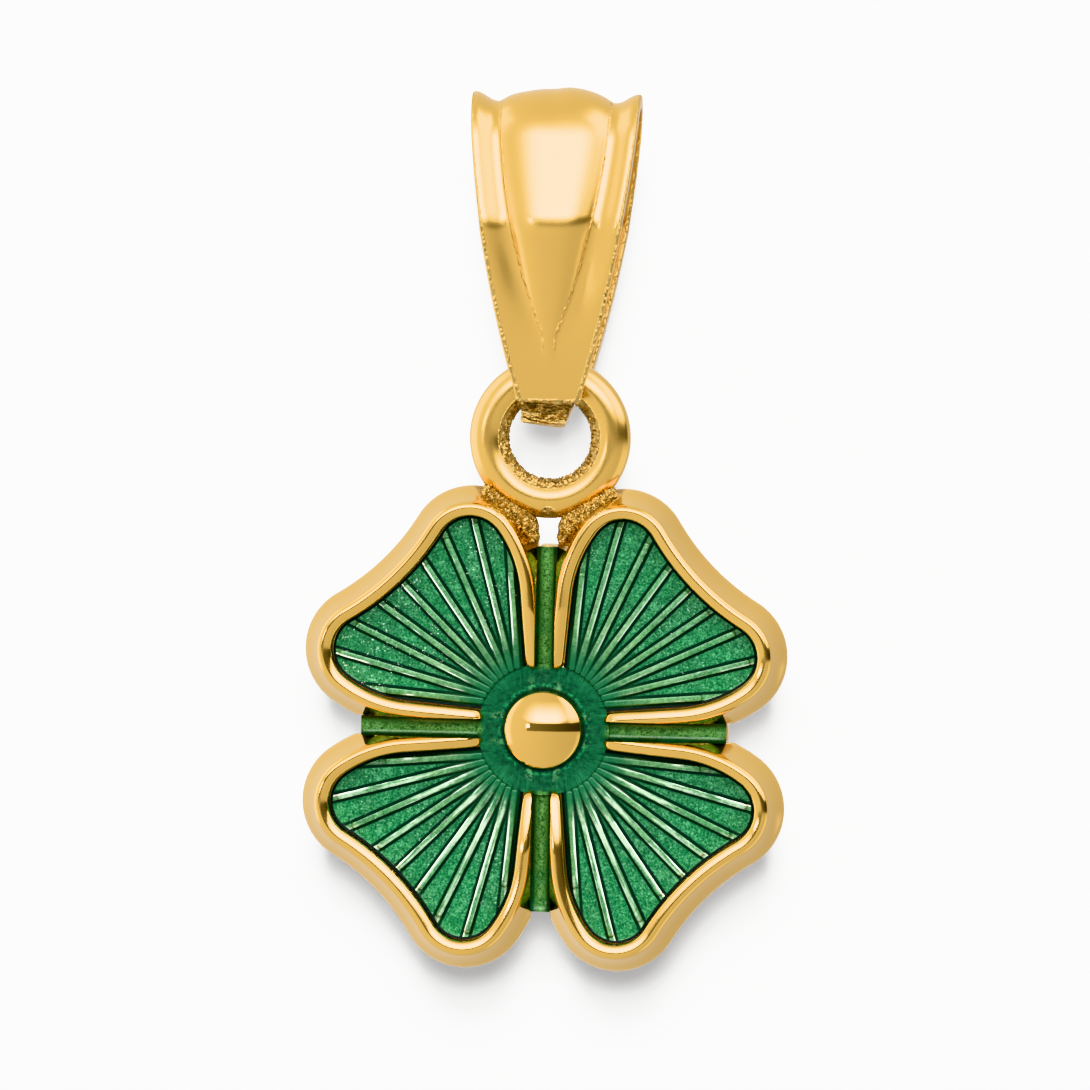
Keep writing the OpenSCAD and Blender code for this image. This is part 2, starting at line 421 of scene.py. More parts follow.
def leaf_arcs():
    """Centres and angles of the arcs from the dip round a lobe to the flank, in millimetres and degrees."""
    clover = bpy.context.scene.charm_clover
    dip_turn, lobe_turn = math.degrees(clover.dip_turn), math.degrees(clover.lobe_turn)
    flank = math.degrees(clover.flank_angle)
    dip_centre = Vector((mm(clover.leaf_dip + clover.dip_radius), 0, 0))
    lobe_start = dip_centre - around(dip_turn, mm(clover.dip_radius))
    lobe_from = dip_turn
    lobe_centre = lobe_start - around(lobe_from, mm(clover.lobe_radius))
    shoulder_from = lobe_from - lobe_turn
    shoulder_start = lobe_centre + around(shoulder_from, mm(clover.lobe_radius))
    shoulder_turn = 45 + 90 + dip_turn - lobe_turn - flank
    shoulder_centre = shoulder_start - around(shoulder_from, mm(clover.shoulder_radius))
    flank_from = shoulder_from - shoulder_turn
    flank_start = shoulder_centre + around(flank_from, mm(clover.shoulder_radius))
    return {
        "dip": (dip_centre, dip_turn),
        "lobe": (lobe_centre, -lobe_turn),
        "shoulder": (shoulder_centre, -shoulder_turn),
        "flank_start": flank_start,
        "flank_way": around(flank_from - 90),
        "flank_side": around(flank_from),
    }


def rounded_rail(arcs):
    """Sweeps what is drawn at the dip round the dip, the lobe and the shoulder."""
    for part, count in zip(("dip", "lobe", "shoulder"), LEAF_STEPS):
        centre, angle = arcs[part]
        sweep(angle, centre, (0, 0, 1), count)


# Materials


def node(tree, kind, place, **settings):
    """Adds a node at a place and sets it."""
    made = tree.nodes.new(kind)
    made.location = place
    for key, value in settings.items():
        setattr(made, key, value)
    return made


def figure(tree, operation, a, b=None, place=(0, 0), clamp=False):
    """A Math node: a and b are sockets or numbers."""
    made = node(tree, "ShaderNodeMath", place, operation=operation, use_clamp=clamp)
    for slot, value in enumerate((a, b)):
        if value is None:
            continue
        if isinstance(value, (int, float)):
            made.inputs[slot].default_value = value
        else:
            tree.links.new(value, made.inputs[slot])
    return made.outputs[0]


def plus(tree, a, b, place=(0, 0), clamp=False):
    """The sum of two sockets or numbers."""
    return figure(tree, "ADD", a, b, place, clamp)


def less(tree, a, b, place=(0, 0), clamp=False):
    """The first of two sockets or numbers less the second."""
    return figure(tree, "SUBTRACT", a, b, place, clamp)


def times(tree, a, b, place=(0, 0), clamp=False):
    """The product of two sockets or numbers."""
    return figure(tree, "MULTIPLY", a, b, place, clamp)


def spread(tree, value, low, high, to_low=0.0, to_high=1.0, place=(0, 0), soft=True):
    """Maps a value from one range to another, held at both ends."""
    made = node(tree, "ShaderNodeMapRange", place, clamp=True)
    made.interpolation_type = "SMOOTHSTEP" if soft else "LINEAR"
    tree.links.new(value, made.inputs["Value"])
    for name, number in (("From Min", low), ("From Max", high), ("To Min", to_low), ("To Max", to_high)):
        made.inputs[name].default_value = number
    return made.outputs["Result"]


def blend_colours(tree, factor, a, b, place=(0, 0)):
    """Mixes two colours, each a socket or a colour."""
    made = node(tree, "ShaderNodeMix", place, data_type="RGBA")
    for socket, value in ((made.inputs[0], factor), (made.inputs[6], a), (made.inputs[7], b)):
        if hasattr(value, "is_output"):
            tree.links.new(value, socket)
        elif isinstance(value, (int, float)):
            socket.default_value = value
        else:
            socket.default_value = (*value[:3], 1)
    return made.outputs[2]


def coats(tree, base, *layers):
    """Lays colours over a base, each given as its factor and its colour."""
    for number, (factor, colour) in enumerate(layers):
        base = blend_colours(tree, factor, base, colour, (40 * number - 500, 300))
    return base


def reach_of(tree, a, b):
    """The length of a line that goes a one way and b across it."""
    return figure(tree, "SQRT", plus(tree, times(tree, a, a), times(tree, b, b)))


def grain(tree, vector, scale, detail, place, roughness=0.5):
    """A cloudy noise."""
    made = node(tree, "ShaderNodeTexNoise", place)
    tree.links.new(vector, made.inputs["Vector"])
    made.inputs["Scale"].default_value = scale
    made.inputs["Detail"].default_value = detail
    made.inputs["Roughness"].default_value = roughness
    return made.outputs["Fac"]


def open_group(name, inputs, outputs):
    """A new shader node group with its sockets, and its inner input and output nodes."""
    tree = bpy.data.node_groups.new(name, "ShaderNodeTree")
    for label, kind, value in inputs:
        socket = tree.interface.new_socket(label, in_out="INPUT", socket_type=kind)
        if value is not None:
            socket.default_value = value
    for label, kind in outputs:
        tree.interface.new_socket(label, in_out="OUTPUT", socket_type=kind)
    return tree, node(tree, "NodeGroupInput", (-1200, 0)), node(tree, "NodeGroupOutput", (900, 0))


def place_group(tree, name, place, **values):
    """Places a group in a material, with its own values."""
    made = node(tree, "ShaderNodeGroup", place)
    made.node_tree = bpy.data.node_groups[name]
    for label, value in values.items():
        socket = made.inputs[label.replace("_", " ")]
        if hasattr(value, "is_output"):
            tree.links.new(value, socket)
        elif hasattr(value, "__len__"):
            socket.default_value = (*value[:3], 1)
        else:
            socket.default_value = value
    return made


def build_gold_group():
    """Worn polish: fine scratches and clouds on the smooth gold, and grains where it is left as cast."""
    tree, entry, leave = open_group(
        "Cast and polished gold",
        (
            ("Vector", "NodeSocketVector", None),
            ("Cast", "NodeSocketFloat", 0.0),
            ("Gold", "NodeSocketColor", None),
            ("Grain gold", "NodeSocketColor", None),
            ("Polish", "NodeSocketFloat", 0.13),
        ),
        (("Colour", "NodeSocketColor"), ("Roughness", "NodeSocketFloat"), ("Height", "NodeSocketFloat")),
    )
    vector = entry.outputs["Vector"]
    stretch_node = node(tree, "ShaderNodeMapping", (-1000, 300))
    stretch_node.inputs["Scale"].default_value = (1, 1, 0.08)
    stretch_node.inputs["Rotation"].default_value = (0, 0.5, 0.2)
    tree.links.new(vector, stretch_node.inputs["Vector"])
    hair = grain(tree, stretch_node.outputs[0], 16, 3, (-800, 300), 0.6)
    cloud = grain(tree, vector, 0.9, 3, (-800, 100), 0.5)
    fine = grain(tree, vector, 9, 4, (-800, -100), 0.65)
    cell = node(tree, "ShaderNodeTexVoronoi", (-800, -300), feature="SMOOTH_F1")
    tree.links.new(vector, cell.inputs["Vector"])
    cell.inputs["Scale"].default_value = 11
    cell.inputs["Smoothness"].default_value = 0.6
    pits = spread(tree, cell.outputs["Distance"], 0.1, 0.6, 0, 1, (-600, -300))
    cast = spread(
        tree, plus(tree, entry.outputs["Cast"], times(tree, fine, 0.5)), 0.55, 0.85, 0, 1, (-300, -50)
    )
    speck = spread(tree, fine, 0.62, 0.72, 0, 1, (-500, -500))
    dark = times(tree, cast, figure(tree, "MAXIMUM", pits, speck), (0, -200))
    tint = plus(tree, times(tree, dark, 0.6), times(tree, cast, 0.3), clamp=True)
    warm = blend_colours(tree, tint, entry.outputs["Gold"], entry.outputs["Grain gold"], (300, 300))
    hollow = times(tree, cast, spread(tree, fine, 0.45, 0.36, 0, 0.8))
    warm = blend_colours(tree, hollow, warm, (0.11, 0.07, 0.02), (500, 300))
    tree.links.new(warm, leave.inputs["Colour"])
    polish = plus(tree, entry.outputs["Polish"], spread(tree, cloud, 0.35, 0.7, -0.01, 0.02, (0, 0)))
    polish = plus(tree, polish, spread(tree, hair, 0.5, 0.8, 0, 0.03, (0, -100)))
    polish = plus(tree, polish, times(tree, cast, 0.22), clamp=True)
    tree.links.new(polish, leave.inputs["Roughness"])
    rise = times(tree, less(tree, 1, pits), cast)
    rise = plus(tree, times(tree, rise, 0.02), times(tree, hair, 0.0006))
    rise = plus(tree, rise, times(tree, cloud, 0.004))
    rise = plus(tree, rise, times(tree, times(tree, fine, cast), 0.016))
    tree.links.new(rise, leave.inputs["Height"])


def build_rib_group():
    """Where a point of a leaf lies among the ribs that fan out from near the dome."""
    tree, entry, leave = open_group(
        "Ribs of a leaf",
        (
            ("Vector", "NodeSocketVector", None),
            ("Fan", "NodeSocketFloat", 0.65),
            ("Step", "NodeSocketFloat", math.radians(10)),
            ("Half count", "NodeSocketFloat", 4.0),
            ("Half width", "NodeSocketFloat", 0.08),
            ("Line", "NodeSocketFloat", 0.045),
            ("Start", "NodeSocketFloat", 1.25),
        ),
        (
            ("Rib", "NodeSocketFloat"),
            ("Groove", "NodeSocketFloat"),
            ("Reach", "NodeSocketFloat"),
            ("Signed", "NodeSocketFloat"),
            ("Streak", "NodeSocketVector"),
        ),
    )
    apart = node(tree, "ShaderNodeSeparateXYZ", (-1000, 0))
    tree.links.new(entry.outputs["Vector"], apart.inputs[0])
    x = figure(tree, "ABSOLUTE", apart.outputs[0])
    z = figure(tree, "ABSOLUTE", apart.outputs[2])
    out = times(tree, plus(tree, x, z), math.sqrt(0.5))
    side = times(tree, less(tree, x, z), math.sqrt(0.5))
    from_fan = less(tree, out, entry.outputs["Fan"])
    angle = figure(tree, "ARCTAN2", side, from_fan)
    number = figure(tree, "ROUND", figure(tree, "DIVIDE", angle, entry.outputs["Step"]))
    number = figure(tree, "MINIMUM", number, entry.outputs["Half count"])
    number = figure(tree, "MAXIMUM", number, times(tree, entry.outputs["Half count"], -1))
    off = less(tree, angle, times(tree, number, entry.outputs["Step"]))
    far = reach_of(tree, from_fan, side)
    across = figure(tree, "ABSOLUTE", times(tree, far, figure(tree, "SINE", off)))
    reach = reach_of(tree, out, side)
    begun = figure(tree, "GREATER_THAN", reach, entry.outputs["Start"])
    inside = figure(tree, "LESS_THAN", across, entry.outputs["Half width"])
    tree.links.new(times(tree, inside, begun), leave.inputs["Rib"])
    away = figure(tree, "ABSOLUTE", less(tree, across, entry.outputs["Half width"]))
    line = less(tree, 1, figure(tree, "DIVIDE", away, entry.outputs["Line"]), clamp=True)
    line = spread(tree, line, 0.1, 0.55)
    tree.links.new(times(tree, line, begun), leave.inputs["Groove"])
    tree.links.new(reach, leave.inputs["Reach"])
    streak = node(tree, "ShaderNodeCombineXYZ", (600, -300))
    signed = times(tree, far, figure(tree, "SINE", off))
    tree.links.new(signed, leave.inputs["Signed"])
    tree.links.new(times(tree, far, 1.1), streak.inputs[0])
    tree.links.new(times(tree, signed, 16), streak.inputs[1])
    tree.links.new(times(tree, number, 7.3), streak.inputs[2])
    tree.links.new(streak.outputs[0], leave.inputs["Streak"])


def place_ribs(tree, place, vector, start):
    """Places the ribs' group with the sizes of the enamel."""
    enamel = bpy.context.scene.charm_enamel
    return place_group(
        tree, "Ribs of a leaf", place, Vector=vector, Fan=mm(enamel.rib_fan), Step=enamel.rib_step,
        Half_count=(enamel.rib_count - 1) / 2, Half_width=mm(enamel.rib_width) / 2, Start=start,
    )


def open_material(name):
    """A new material: its tree, its shader, and the object's own place in millimetres."""
    material = bpy.data.materials.new(name)
    material.use_nodes = True
    tree = material.node_tree
    shader = tree.nodes["Principled BSDF"]
    place = node(tree, "ShaderNodeTexCoord", (-1800, 0))
    size = node(tree, "ShaderNodeMapping", (-1600, 0), vector_type="POINT")
    size.inputs["Scale"].default_value = (1 / MM, 1 / MM, 1 / MM)
    tree.links.new(place.outputs["Object"], size.inputs["Vector"])
    return material, tree, shader, size


def relief(tree, shader, height, strength=1.0, place=(-300, -400)):
    """Feeds a height in millimetres to the shader's normal."""
    bump = node(tree, "ShaderNodeBump", place)
    bump.inputs["Distance"].default_value = MM
    bump.inputs["Strength"].default_value = strength
    tree.links.new(height, bump.inputs["Height"])
    tree.links.new(bump.outputs[0], shader.inputs["Normal"])


def gold_material(name):
    """Gold, polished where the piece's own mark says so and left as cast elsewhere."""
    finish = bpy.context.scene.charm_finish
    material, tree, shader, size = open_material(name)
    cast = node(tree, "ShaderNodeAttribute", (-1600, -300), attribute_name="cast").outputs["Fac"]
    shine = node(tree, "ShaderNodeAttribute", (-1600, -500), attribute_name="polish").outputs["Fac"]
    made = place_group(
        tree, "Cast and polished gold", (-700, 0),
        Vector=size.outputs[0], Cast=cast, Gold=finish.gold, Grain_gold=finish.gold_shade,
        Polish=spread(tree, shine, 0, 1, finish.satin, finish.polish, (-1300, -500), soft=False),
    )
    tree.links.new(made.outputs["Colour"], shader.inputs["Base Color"])
    tree.links.new(made.outputs["Roughness"], shader.inputs["Roughness"])
    shader.inputs["Metallic"].default_value = 1.0
    relief(tree, shader, made.outputs["Height"])
    return material


def centred(tree, size):
    """The object's own place in millimetres from the middle of the dome."""
    middle = clover_middle()
    shift_node = node(tree, "ShaderNodeVectorMath", (-1400, 0), operation="SUBTRACT")
    tree.links.new(size.outputs[0], shift_node.inputs[0])
    shift_node.inputs[1].default_value = (mm(middle.x), 0, mm(middle.z))
    return shift_node.outputs[0]


def glaze(tree, shader, mottle, cloud, coat):
    """Gives an enamel its clouded surface under a thin clear glaze."""
    shader.inputs["Metallic"].default_value = 0.25
    shader.inputs["Specular IOR Level"].default_value = 0.12
    tree.links.new(spread(tree, mottle, 0.3, 0.7, 0.32, 0.45, (-600, -100)), shader.inputs["Roughness"])
    tree.links.new(coat, shader.inputs["Coat Weight"])
    shader.inputs["Coat Roughness"].default_value = 0.12
    height = plus(tree, times(tree, mottle, 0.012), times(tree, cloud, 0.02))
    relief(tree, shader, height, 0.8)


def leaf_material():
    """Mottled green enamel, paler where thin over a rib, almost black in the grooves as deep enamel and
    painted shade, with painted highlights.
    """
    finish, enamel = bpy.context.scene.charm_finish, bpy.context.scene.charm_enamel
    material, tree, shader, size = open_material("ribbed_leaf_enamel")
    vector = centred(tree, size)
    ribs = place_ribs(tree, (-1200, 0), vector, mm(enamel.rib_start) - 0.02)
    reach = ribs.outputs["Reach"]
    mottle = grain(tree, vector, 9, 5, (-1000, -300), 0.7)
    cloud = grain(tree, vector, 1.6, 3, (-1000, -450), 0.5)
    streaks = grain(tree, ribs.outputs["Streak"], 1.0, 3, (-1000, -600), 0.55)
    signed = ribs.outputs["Signed"]
    near = spread(tree, reach, 1.4, 3.3, 1.0, 0.35, (-800, 200))
    begun = spread(tree, plus(tree, reach, times(tree, mottle, 0.6)), 1.65, 2.75)
    inner = spread(tree, reach, 1.2, 2.5, 1.0, 0.0, (-800, 300))
    # Painted highlights: the lower leaves' ribs are painted lighter than the upper ones', and the upper left
    # gets painted glints
    apart = node(tree, "ShaderNodeSeparateXYZ", (-1200, -800))
    tree.links.new(vector, apart.inputs[0])
    lower = spread(tree, apart.outputs[2], -1.2, 0.6, 1, 0.12, (-1000, -800))
    left = spread(tree, apart.outputs[0], -0.8, 0.4, 1, 0.3)
    lit_upper_left = times(tree, left, spread(tree, apart.outputs[2], -0.4, 0.8, 0.3, 1))
    fleck = grain(tree, vector, 26, 3, (-1000, -1200), 0.6)
    base = blend_colours(
        tree, spread(tree, cloud, 0.35, 0.65), (0.016, 0.15, 0.05), finish.enamel, (-600, 300)
    )
    shaded_valley = less(tree, 1, ribs.outputs["Rib"])
    shaded_valley = times(tree, times(tree, shaded_valley, inner), 0.7)
    # Pale and dark clouds, dark and pale grains, the plain ring beside the pool, and the valleys in it darker
    # as deep enamel and painted shade
    base = coats(
        tree, base,
        (spread(tree, mottle, 0.48, 0.72, 0, 0.8), (0.08, 0.32, 0.145)),
        (spread(tree, mottle, 0.47, 0.3, 0, 0.85), (0.001, 0.08, 0.025)),
        (spread(tree, fleck, 0.5, 0.37, 0, 0.85), (0.0008, 0.04, 0.014)),
        (spread(tree, fleck, 0.55, 0.7, 0, 0.55), (0.16, 0.38, 0.2)),
        (less(tree, 1, begun), (0.010, 0.09, 0.034)),
        (shaded_valley, (0.001, 0.05, 0.018)),
    )
    pale = times(tree, times(tree, ribs.outputs["Rib"], near), begun)
    pale = times(tree, pale, spread(tree, mottle, 0.3, 0.7, 0.45, 1.05, (-800, 0)))
    base = blend_colours(tree, times(tree, pale, 0.8, clamp=True), base, finish.rib, (-400, 300))
    # Painted highlight: near-white streaks on the ribs of the lower leaves
    painted_rib_highlight = times(tree, times(tree, pale, lower), spread(tree, streaks, 0.47, 0.6))
    painted_rib_highlight = times(tree, painted_rib_highlight, 1.0, clamp=True)
    base = blend_colours(tree, painted_rib_highlight, base, (0.8, 0.95, 0.75), (-300, 300))
    # Painted highlights: thin bright lines along one side of a rib
    line = times(tree, spread(tree, signed, 0.022, 0.032), spread(tree, signed, 0.05, 0.06, 1, 0))
    line = times(tree, line, spread(tree, streaks, 0.5, 0.56))
    line = times(tree, line, figure(tree, "MAXIMUM", lit_upper_left, lower))
    line = times(tree, line, spread(tree, reach, 1.6, 2.0))
    base = blend_colours(tree, line, base, (0.9, 1.0, 0.88), (-250, 300))
    # The grooves beside the ribs: darker as deep enamel, and painted shade
    groove_and_shade = times(tree, ribs.outputs["Groove"], spread(tree, begun, 0, 1, 0.55, 1))
    base = blend_colours(tree, groove_and_shade, base, finish.groove_and_shade, (-200, 300))
    # Painted glints: white sparkles on the outer part of the upper left leaf
    painted_glint = times(tree, spread(tree, fleck, 0.66, 0.7), spread(tree, cloud, 0.47, 0.56))
    painted_glint = times(tree, painted_glint, times(tree, spread(tree, reach, 2.0, 2.6), lit_upper_left))
    base = blend_colours(tree, painted_glint, base, (0.9, 1.0, 0.9), (-150, 300))
    # Painted shade: a near-black band where the enamel meets the gold wall
    rim = node(tree, "ShaderNodeAttribute", (-1000, -1000), attribute_name="rim").outputs["Fac"]
    painted_wall_shade = spread(tree, rim, 0.36, 0.5)
    base = blend_colours(tree, painted_wall_shade, base, (0.0003, 0.004, 0.002), (-100, 300))
    tree.links.new(base, shader.inputs["Base Color"])
    dark = figure(tree, "MAXIMUM", painted_wall_shade, ribs.outputs["Groove"])
    glaze(tree, shader, mottle, cloud, spread(tree, dark, 0, 1, 0.35, 0))
    return material


def channel_material():
    """Dark olive enamel in the channels, lighter along the middle, and a teal pool about the dome."""
    finish = bpy.context.scene.charm_finish
    material, tree, shader, size = open_material("channel_and_pool_enamel")
    vector = centred(tree, size)
    apart = node(tree, "ShaderNodeSeparateXYZ", (-1200, 0))
    tree.links.new(vector, apart.inputs[0])
    x, z = figure(tree, "ABSOLUTE", apart.outputs[0]), figure(tree, "ABSOLUTE", apart.outputs[2])
    side = figure(tree, "MINIMUM", x, z)
    reach = reach_of(tree, x, z)
    mottle = grain(tree, vector, 10, 5, (-1000, -300), 0.7)
    cloud = grain(tree, vector, 2.5, 3, (-1000, -450), 0.5)
    fleck = grain(tree, vector, 26, 3, (-1000, -600), 0.6)
    middle = spread(tree, plus(tree, side, times(tree, mottle, 0.08)), 0.05, 0.12, 1, 0, (-800, 100))
    edge = spread(tree, plus(tree, side, times(tree, mottle, 0.09)), 0.12, 0.2, 0, 1, (-800, -50))
    light = times(tree, middle, spread(tree, mottle, 0.35, 0.65))
    # A lighter middle, dark grains and clouds, and a dark border of painted shade along the gold walls
    olive = coats(
        tree, finish.channel,
        (light, (0.11, 0.27, 0.08)),
        (spread(tree, fleck, 0.5, 0.36, 0, 0.8), (0.006, 0.03, 0.008)),
        (spread(tree, mottle, 0.5, 0.36, 0, 0.8), (0.01, 0.05, 0.013)),
        (times(tree, edge, 0.95), (0.002, 0.012, 0.004)),
    )
    clouds = spread(tree, mottle, 0.3, 0.7)
    teal = blend_colours(tree, clouds, (0.001, 0.025, 0.010), (0.010, 0.085, 0.034), (-600, 100))
    pool = spread(tree, plus(tree, reach, times(tree, mottle, 0.3)), 1.28, 1.4, 1, 0, (-600, 0))
    pool = figure(tree, "MAXIMUM", pool, spread(tree, side, 0.188, 0.192))
    strip = times(tree, spread(tree, side, 0.17, 0.22, 0, 1), spread(tree, side, 0.29, 0.34, 1, 0))
    strip = times(tree, strip, spread(tree, plus(tree, reach, cloud), 1.35, 1.6, 1, 0))
    strip = times(tree, strip, spread(tree, mottle, 0.42, 0.58))
    teal = blend_colours(tree, times(tree, strip, 0.55), teal, (0.18, 0.36, 0.18), (-400, 100))
    # The leaves' ribs show faintly through the edge of the pool
    ribs = place_ribs(tree, (-1200, -800), vector, 0.8)
    streaks = grain(tree, ribs.outputs["Streak"], 1.6, 3, (-1000, -800), 0.6)
    faint = times(tree, spread(tree, side, 0.2, 0.3), spread(tree, streaks, 0.44, 0.6))
    outer = spread(tree, plus(tree, reach, times(tree, mottle, 0.3)), 1.15, 1.4)
    teal = blend_colours(tree, times(tree, outer, 0.5), teal, (0.010, 0.09, 0.034))
    faint = times(tree, faint, spread(tree, reach, 0.9, 1.2, 0.25, 0.8))
    teal = blend_colours(tree, faint, teal, (0.02, 0.13, 0.055))
    # Deep enamel and painted shade in the grooves beside the faint ribs
    groove_and_shade = times(tree, ribs.outputs["Groove"], spread(tree, reach, 1.0, 1.25, 0, 0.75))
    teal = blend_colours(tree, groove_and_shade, teal, (0.0008, 0.02, 0.009))
    base = blend_colours(tree, pool, olive, teal, (-300, 300))
    # Painted shade: a near-black ring at the foot of the dome
    inner = spread(tree, plus(tree, reach, times(tree, mottle, 0.06)), 0.81, 0.86, 1, 0)
    base = blend_colours(tree, times(tree, inner, 0.95), base, (0.0005, 0.012, 0.005))
    edge_light = times(tree, spread(tree, reach, 0.81, 0.84, 0, 1), spread(tree, reach, 0.85, 0.9, 1, 0))
    edge_light = times(tree, edge_light, spread(tree, mottle, 0.45, 0.6))
    base = blend_colours(tree, times(tree, edge_light, 0.6), base, (0.03, 0.28, 0.11))
    base = blend_colours(
        tree, times(tree, spread(tree, cloud, 0.5, 0.7), 0.35), base, (0.006, 0.08, 0.03)
    )
    tree.links.new(base, shader.inputs["Base Color"])
    glaze(tree, shader, mottle, cloud, spread(tree, side, 0.1, 0.13, 0.3, 0))
    return material


# Bail


def facing(start, start_radius, end, end_radius):
    """Angle above the horizon that the straight wall between two rounds faces, in degrees."""
    way = Vector(end) - Vector(start)
    return math.degrees(math.atan2(way.y, way.x) + math.acos((start_radius - end_radius) / way.length))


class CHARM_OT_bail(Operator):
    """Builds the folded bail: its side outline is drawn, pulled out in width, fluted and cut at the foot"""

    bl_idname = "charm.bail"
    bl_label = "Bail"

    def execute(self, context):
        s = context.scene.charm_bail
        wall, seat, foot, belly = mm(s.wall), mm(s.seat_radius), mm(s.foot_radius), mm(s.belly_radius)
        top, bottom = mm(BAIL_BOX[1][2]), mm(BAIL_BOX[0][2])
        seat_at = (0, -seat)
        belly_at = (mm(s.belly_depth) / 2 - belly, top - mm(s.belly_drop))
        foot_at = (0, bottom + wall + foot)
        upper = facing(seat_at, seat + wall, belly_at, belly)
        lower = facing(belly_at, belly, foot_at, foot + wall)
        half, panel = mm(s.width) / 2, mm(s.panel_width) / 2

        # The inside's outline starts where the upper wall leaves the top on the back, and runs down the back,
        # round the foot, up the front and over the top. Y is the depth and +Y the back.
        def on(at, radius, angle):
            turned = around(angle, radius - wall)
            return Vector((0, at[0] + turned.x, at[1] + turned.y))

        front_belly = (-belly_at[0], belly_at[1])
        piece = pen("bail_band", on(seat_at, seat + wall, upper) + Vector((-half, 0, 0)))
        self.straight(on(seat_at, seat + wall, upper), on(belly_at, belly, upper), 16)
        self.arc(belly_at, lower - upper, 8)
        self.straight(on(belly_at, belly, lower), on(foot_at, foot + wall, lower), 30)
        self.arc(foot_at, -180 - 2 * lower, 34)
        self.straight(on(foot_at, foot + wall, 180 - lower), on(front_belly, belly, 180 - lower), 30)
        self.arc(front_belly, lower - upper, 8)
        self.straight(on(front_belly, belly, 180 - upper), on(seat_at, seat + wall, 180 - upper), 16)
        self.arc(seat_at, 2 * upper - 180, 48)
        bpy.ops.mesh.select_all(action="SELECT")
        bpy.ops.mesh.remove_doubles(threshold=0.0005)
        for width, columns in ((half - panel, 12), (2 * panel, 32), (half - panel, 12)):
            for _ in range(columns):
                pull((width / columns, 0, 0))
        outward()
        bare()
        weigh(piece, "flutes", lambda at: 1 - self.flute(at, half, panel) * mm(s.flute_depth) / wall)
        edit(piece)
        self.taper(piece, s, half, panel, top, bottom)

        # The sheet is thickened outwards, and less so in the valleys beside the panel.
        apply_modifier(
            piece, "SOLIDIFY", thickness=wall, offset=1, use_even_offset=True, use_rim=True,
            vertex_group="flutes"
        )
        edit(piece)
        outward()
        pick(piece, lambda e: e.calc_face_angle(0) > math.radians(60), "EDGE")
        bpy.ops.mesh.bevel(offset=0.045, segments=3, affect="EDGES", clamp_overlap=True)
        self.cut_foot(piece, bottom)
        mark(piece, "cast", lambda at: self.rough(s, at, top, bottom))
        mark(piece, "polish", lambda at: 0.2)
        set_down(piece)
        deliver(piece, "bail", bpy.data.materials["polished_bail_gold"], ["bail"], 40)
        return {"FINISHED"}

    def straight(self, start, end, steps):
        """Extrudes the pen in equal steps along a straight wall."""
        for _ in range(steps):
            pull((end - start) / steps)

    def arc(self, centre, angle, steps):
        """Spins the pen about a round of the side outline."""
        sweep(angle, (0, centre[0], centre[1]), (1, 0, 0), steps)

    def side_half(self, s, z, top, bottom):
        """Half the width of the bail at a height."""
        widest = top + 0.12
        run = widest - bottom
        cut = mm(s.width - s.foot_width) / 2
        radius = (cut * cut + run * run) / (2 * cut)
        waist = mm(s.waist) * math.sin(math.pi * min(max((top - z) / (top - bottom), 0), 1))
        return math.sqrt(radius * radius - (z - widest) ** 2) - radius + mm(s.width) / 2 - waist

    def panel_half(self, s, z, top):
        """Half the width of the raised panel at a height, never quite closed."""
        widest = top + 0.12
        run = widest - top + mm(s.panel_reach)
        panel = mm(s.panel_width)
        radius = (panel * panel / 4 + run * run) / panel
        return max(math.sqrt(radius * radius - (z - widest) ** 2) - radius + panel / 2, 0.12)

    def taper(self, piece, s, half, edge, top, bottom):
        """Narrows each level: first the panel, then the wings beside it."""
        mesh = bmesh.from_edit_mesh(piece.data)
        levels = {}
        for vertex in mesh.verts:
            levels.setdefault(round(vertex.co.z, 3), []).append(vertex)
        for z in sorted(levels):
            wide, panel = self.side_half(s, z, top, bottom), self.panel_half(s, z, top)
            panel = min(panel, wide * 0.8)
            wings = [(sign, [v for v in levels[z] if v.co.x * sign > edge + 1e-3]) for sign in (1, -1)]
            inner = [v for v in levels[z] if abs(v.co.x) <= edge + 1e-3]
            self.hold(piece, inner)
            stretch((panel / edge, 1, 1))
            for sign, wing in wings:
                self.hold(piece, wing)
                shift((sign * (wide - half), 0, 0))
                stretch(((wide - panel) / (half - edge), 1, 1), (sign * wide, 0, z))

    def hold(self, piece, vertices):
        """Selects these vertices alone."""
        bpy.ops.mesh.select_all(action="DESELECT")
        for vertex in vertices:
            vertex.select_set(True)
        bmesh.update_edit_mesh(piece.data, loop_triangles=False, destructive=False)

    def flute(self, at, half, edge):
        """Depth of the flutes at a point of the straight band, as a share of the deepest."""
        fade = 1 - smooth(-at.z, 2.2, 4.9)
        x = abs(at.x)
        fuller = 0.2 * (1 - smooth(at.x, -0.1, 0.3)) * (1 - smooth(x, 0.5, 1.0))
        fuller *= 1 - smooth(-at.z, -0.3, 0.6)
        if x <= edge:
            share = 0.9 * (x / edge) ** 2.6
        else:
            q = (x - edge) / (half - edge)
            share = 1 - 0.08 * (1 - smooth(q, 0, 0.1)) - 0.6 * smooth(q, 0.16, 0.9)
            share += 0.05 * smooth(q, 0.9, 1)
        return (share + fuller) * fade

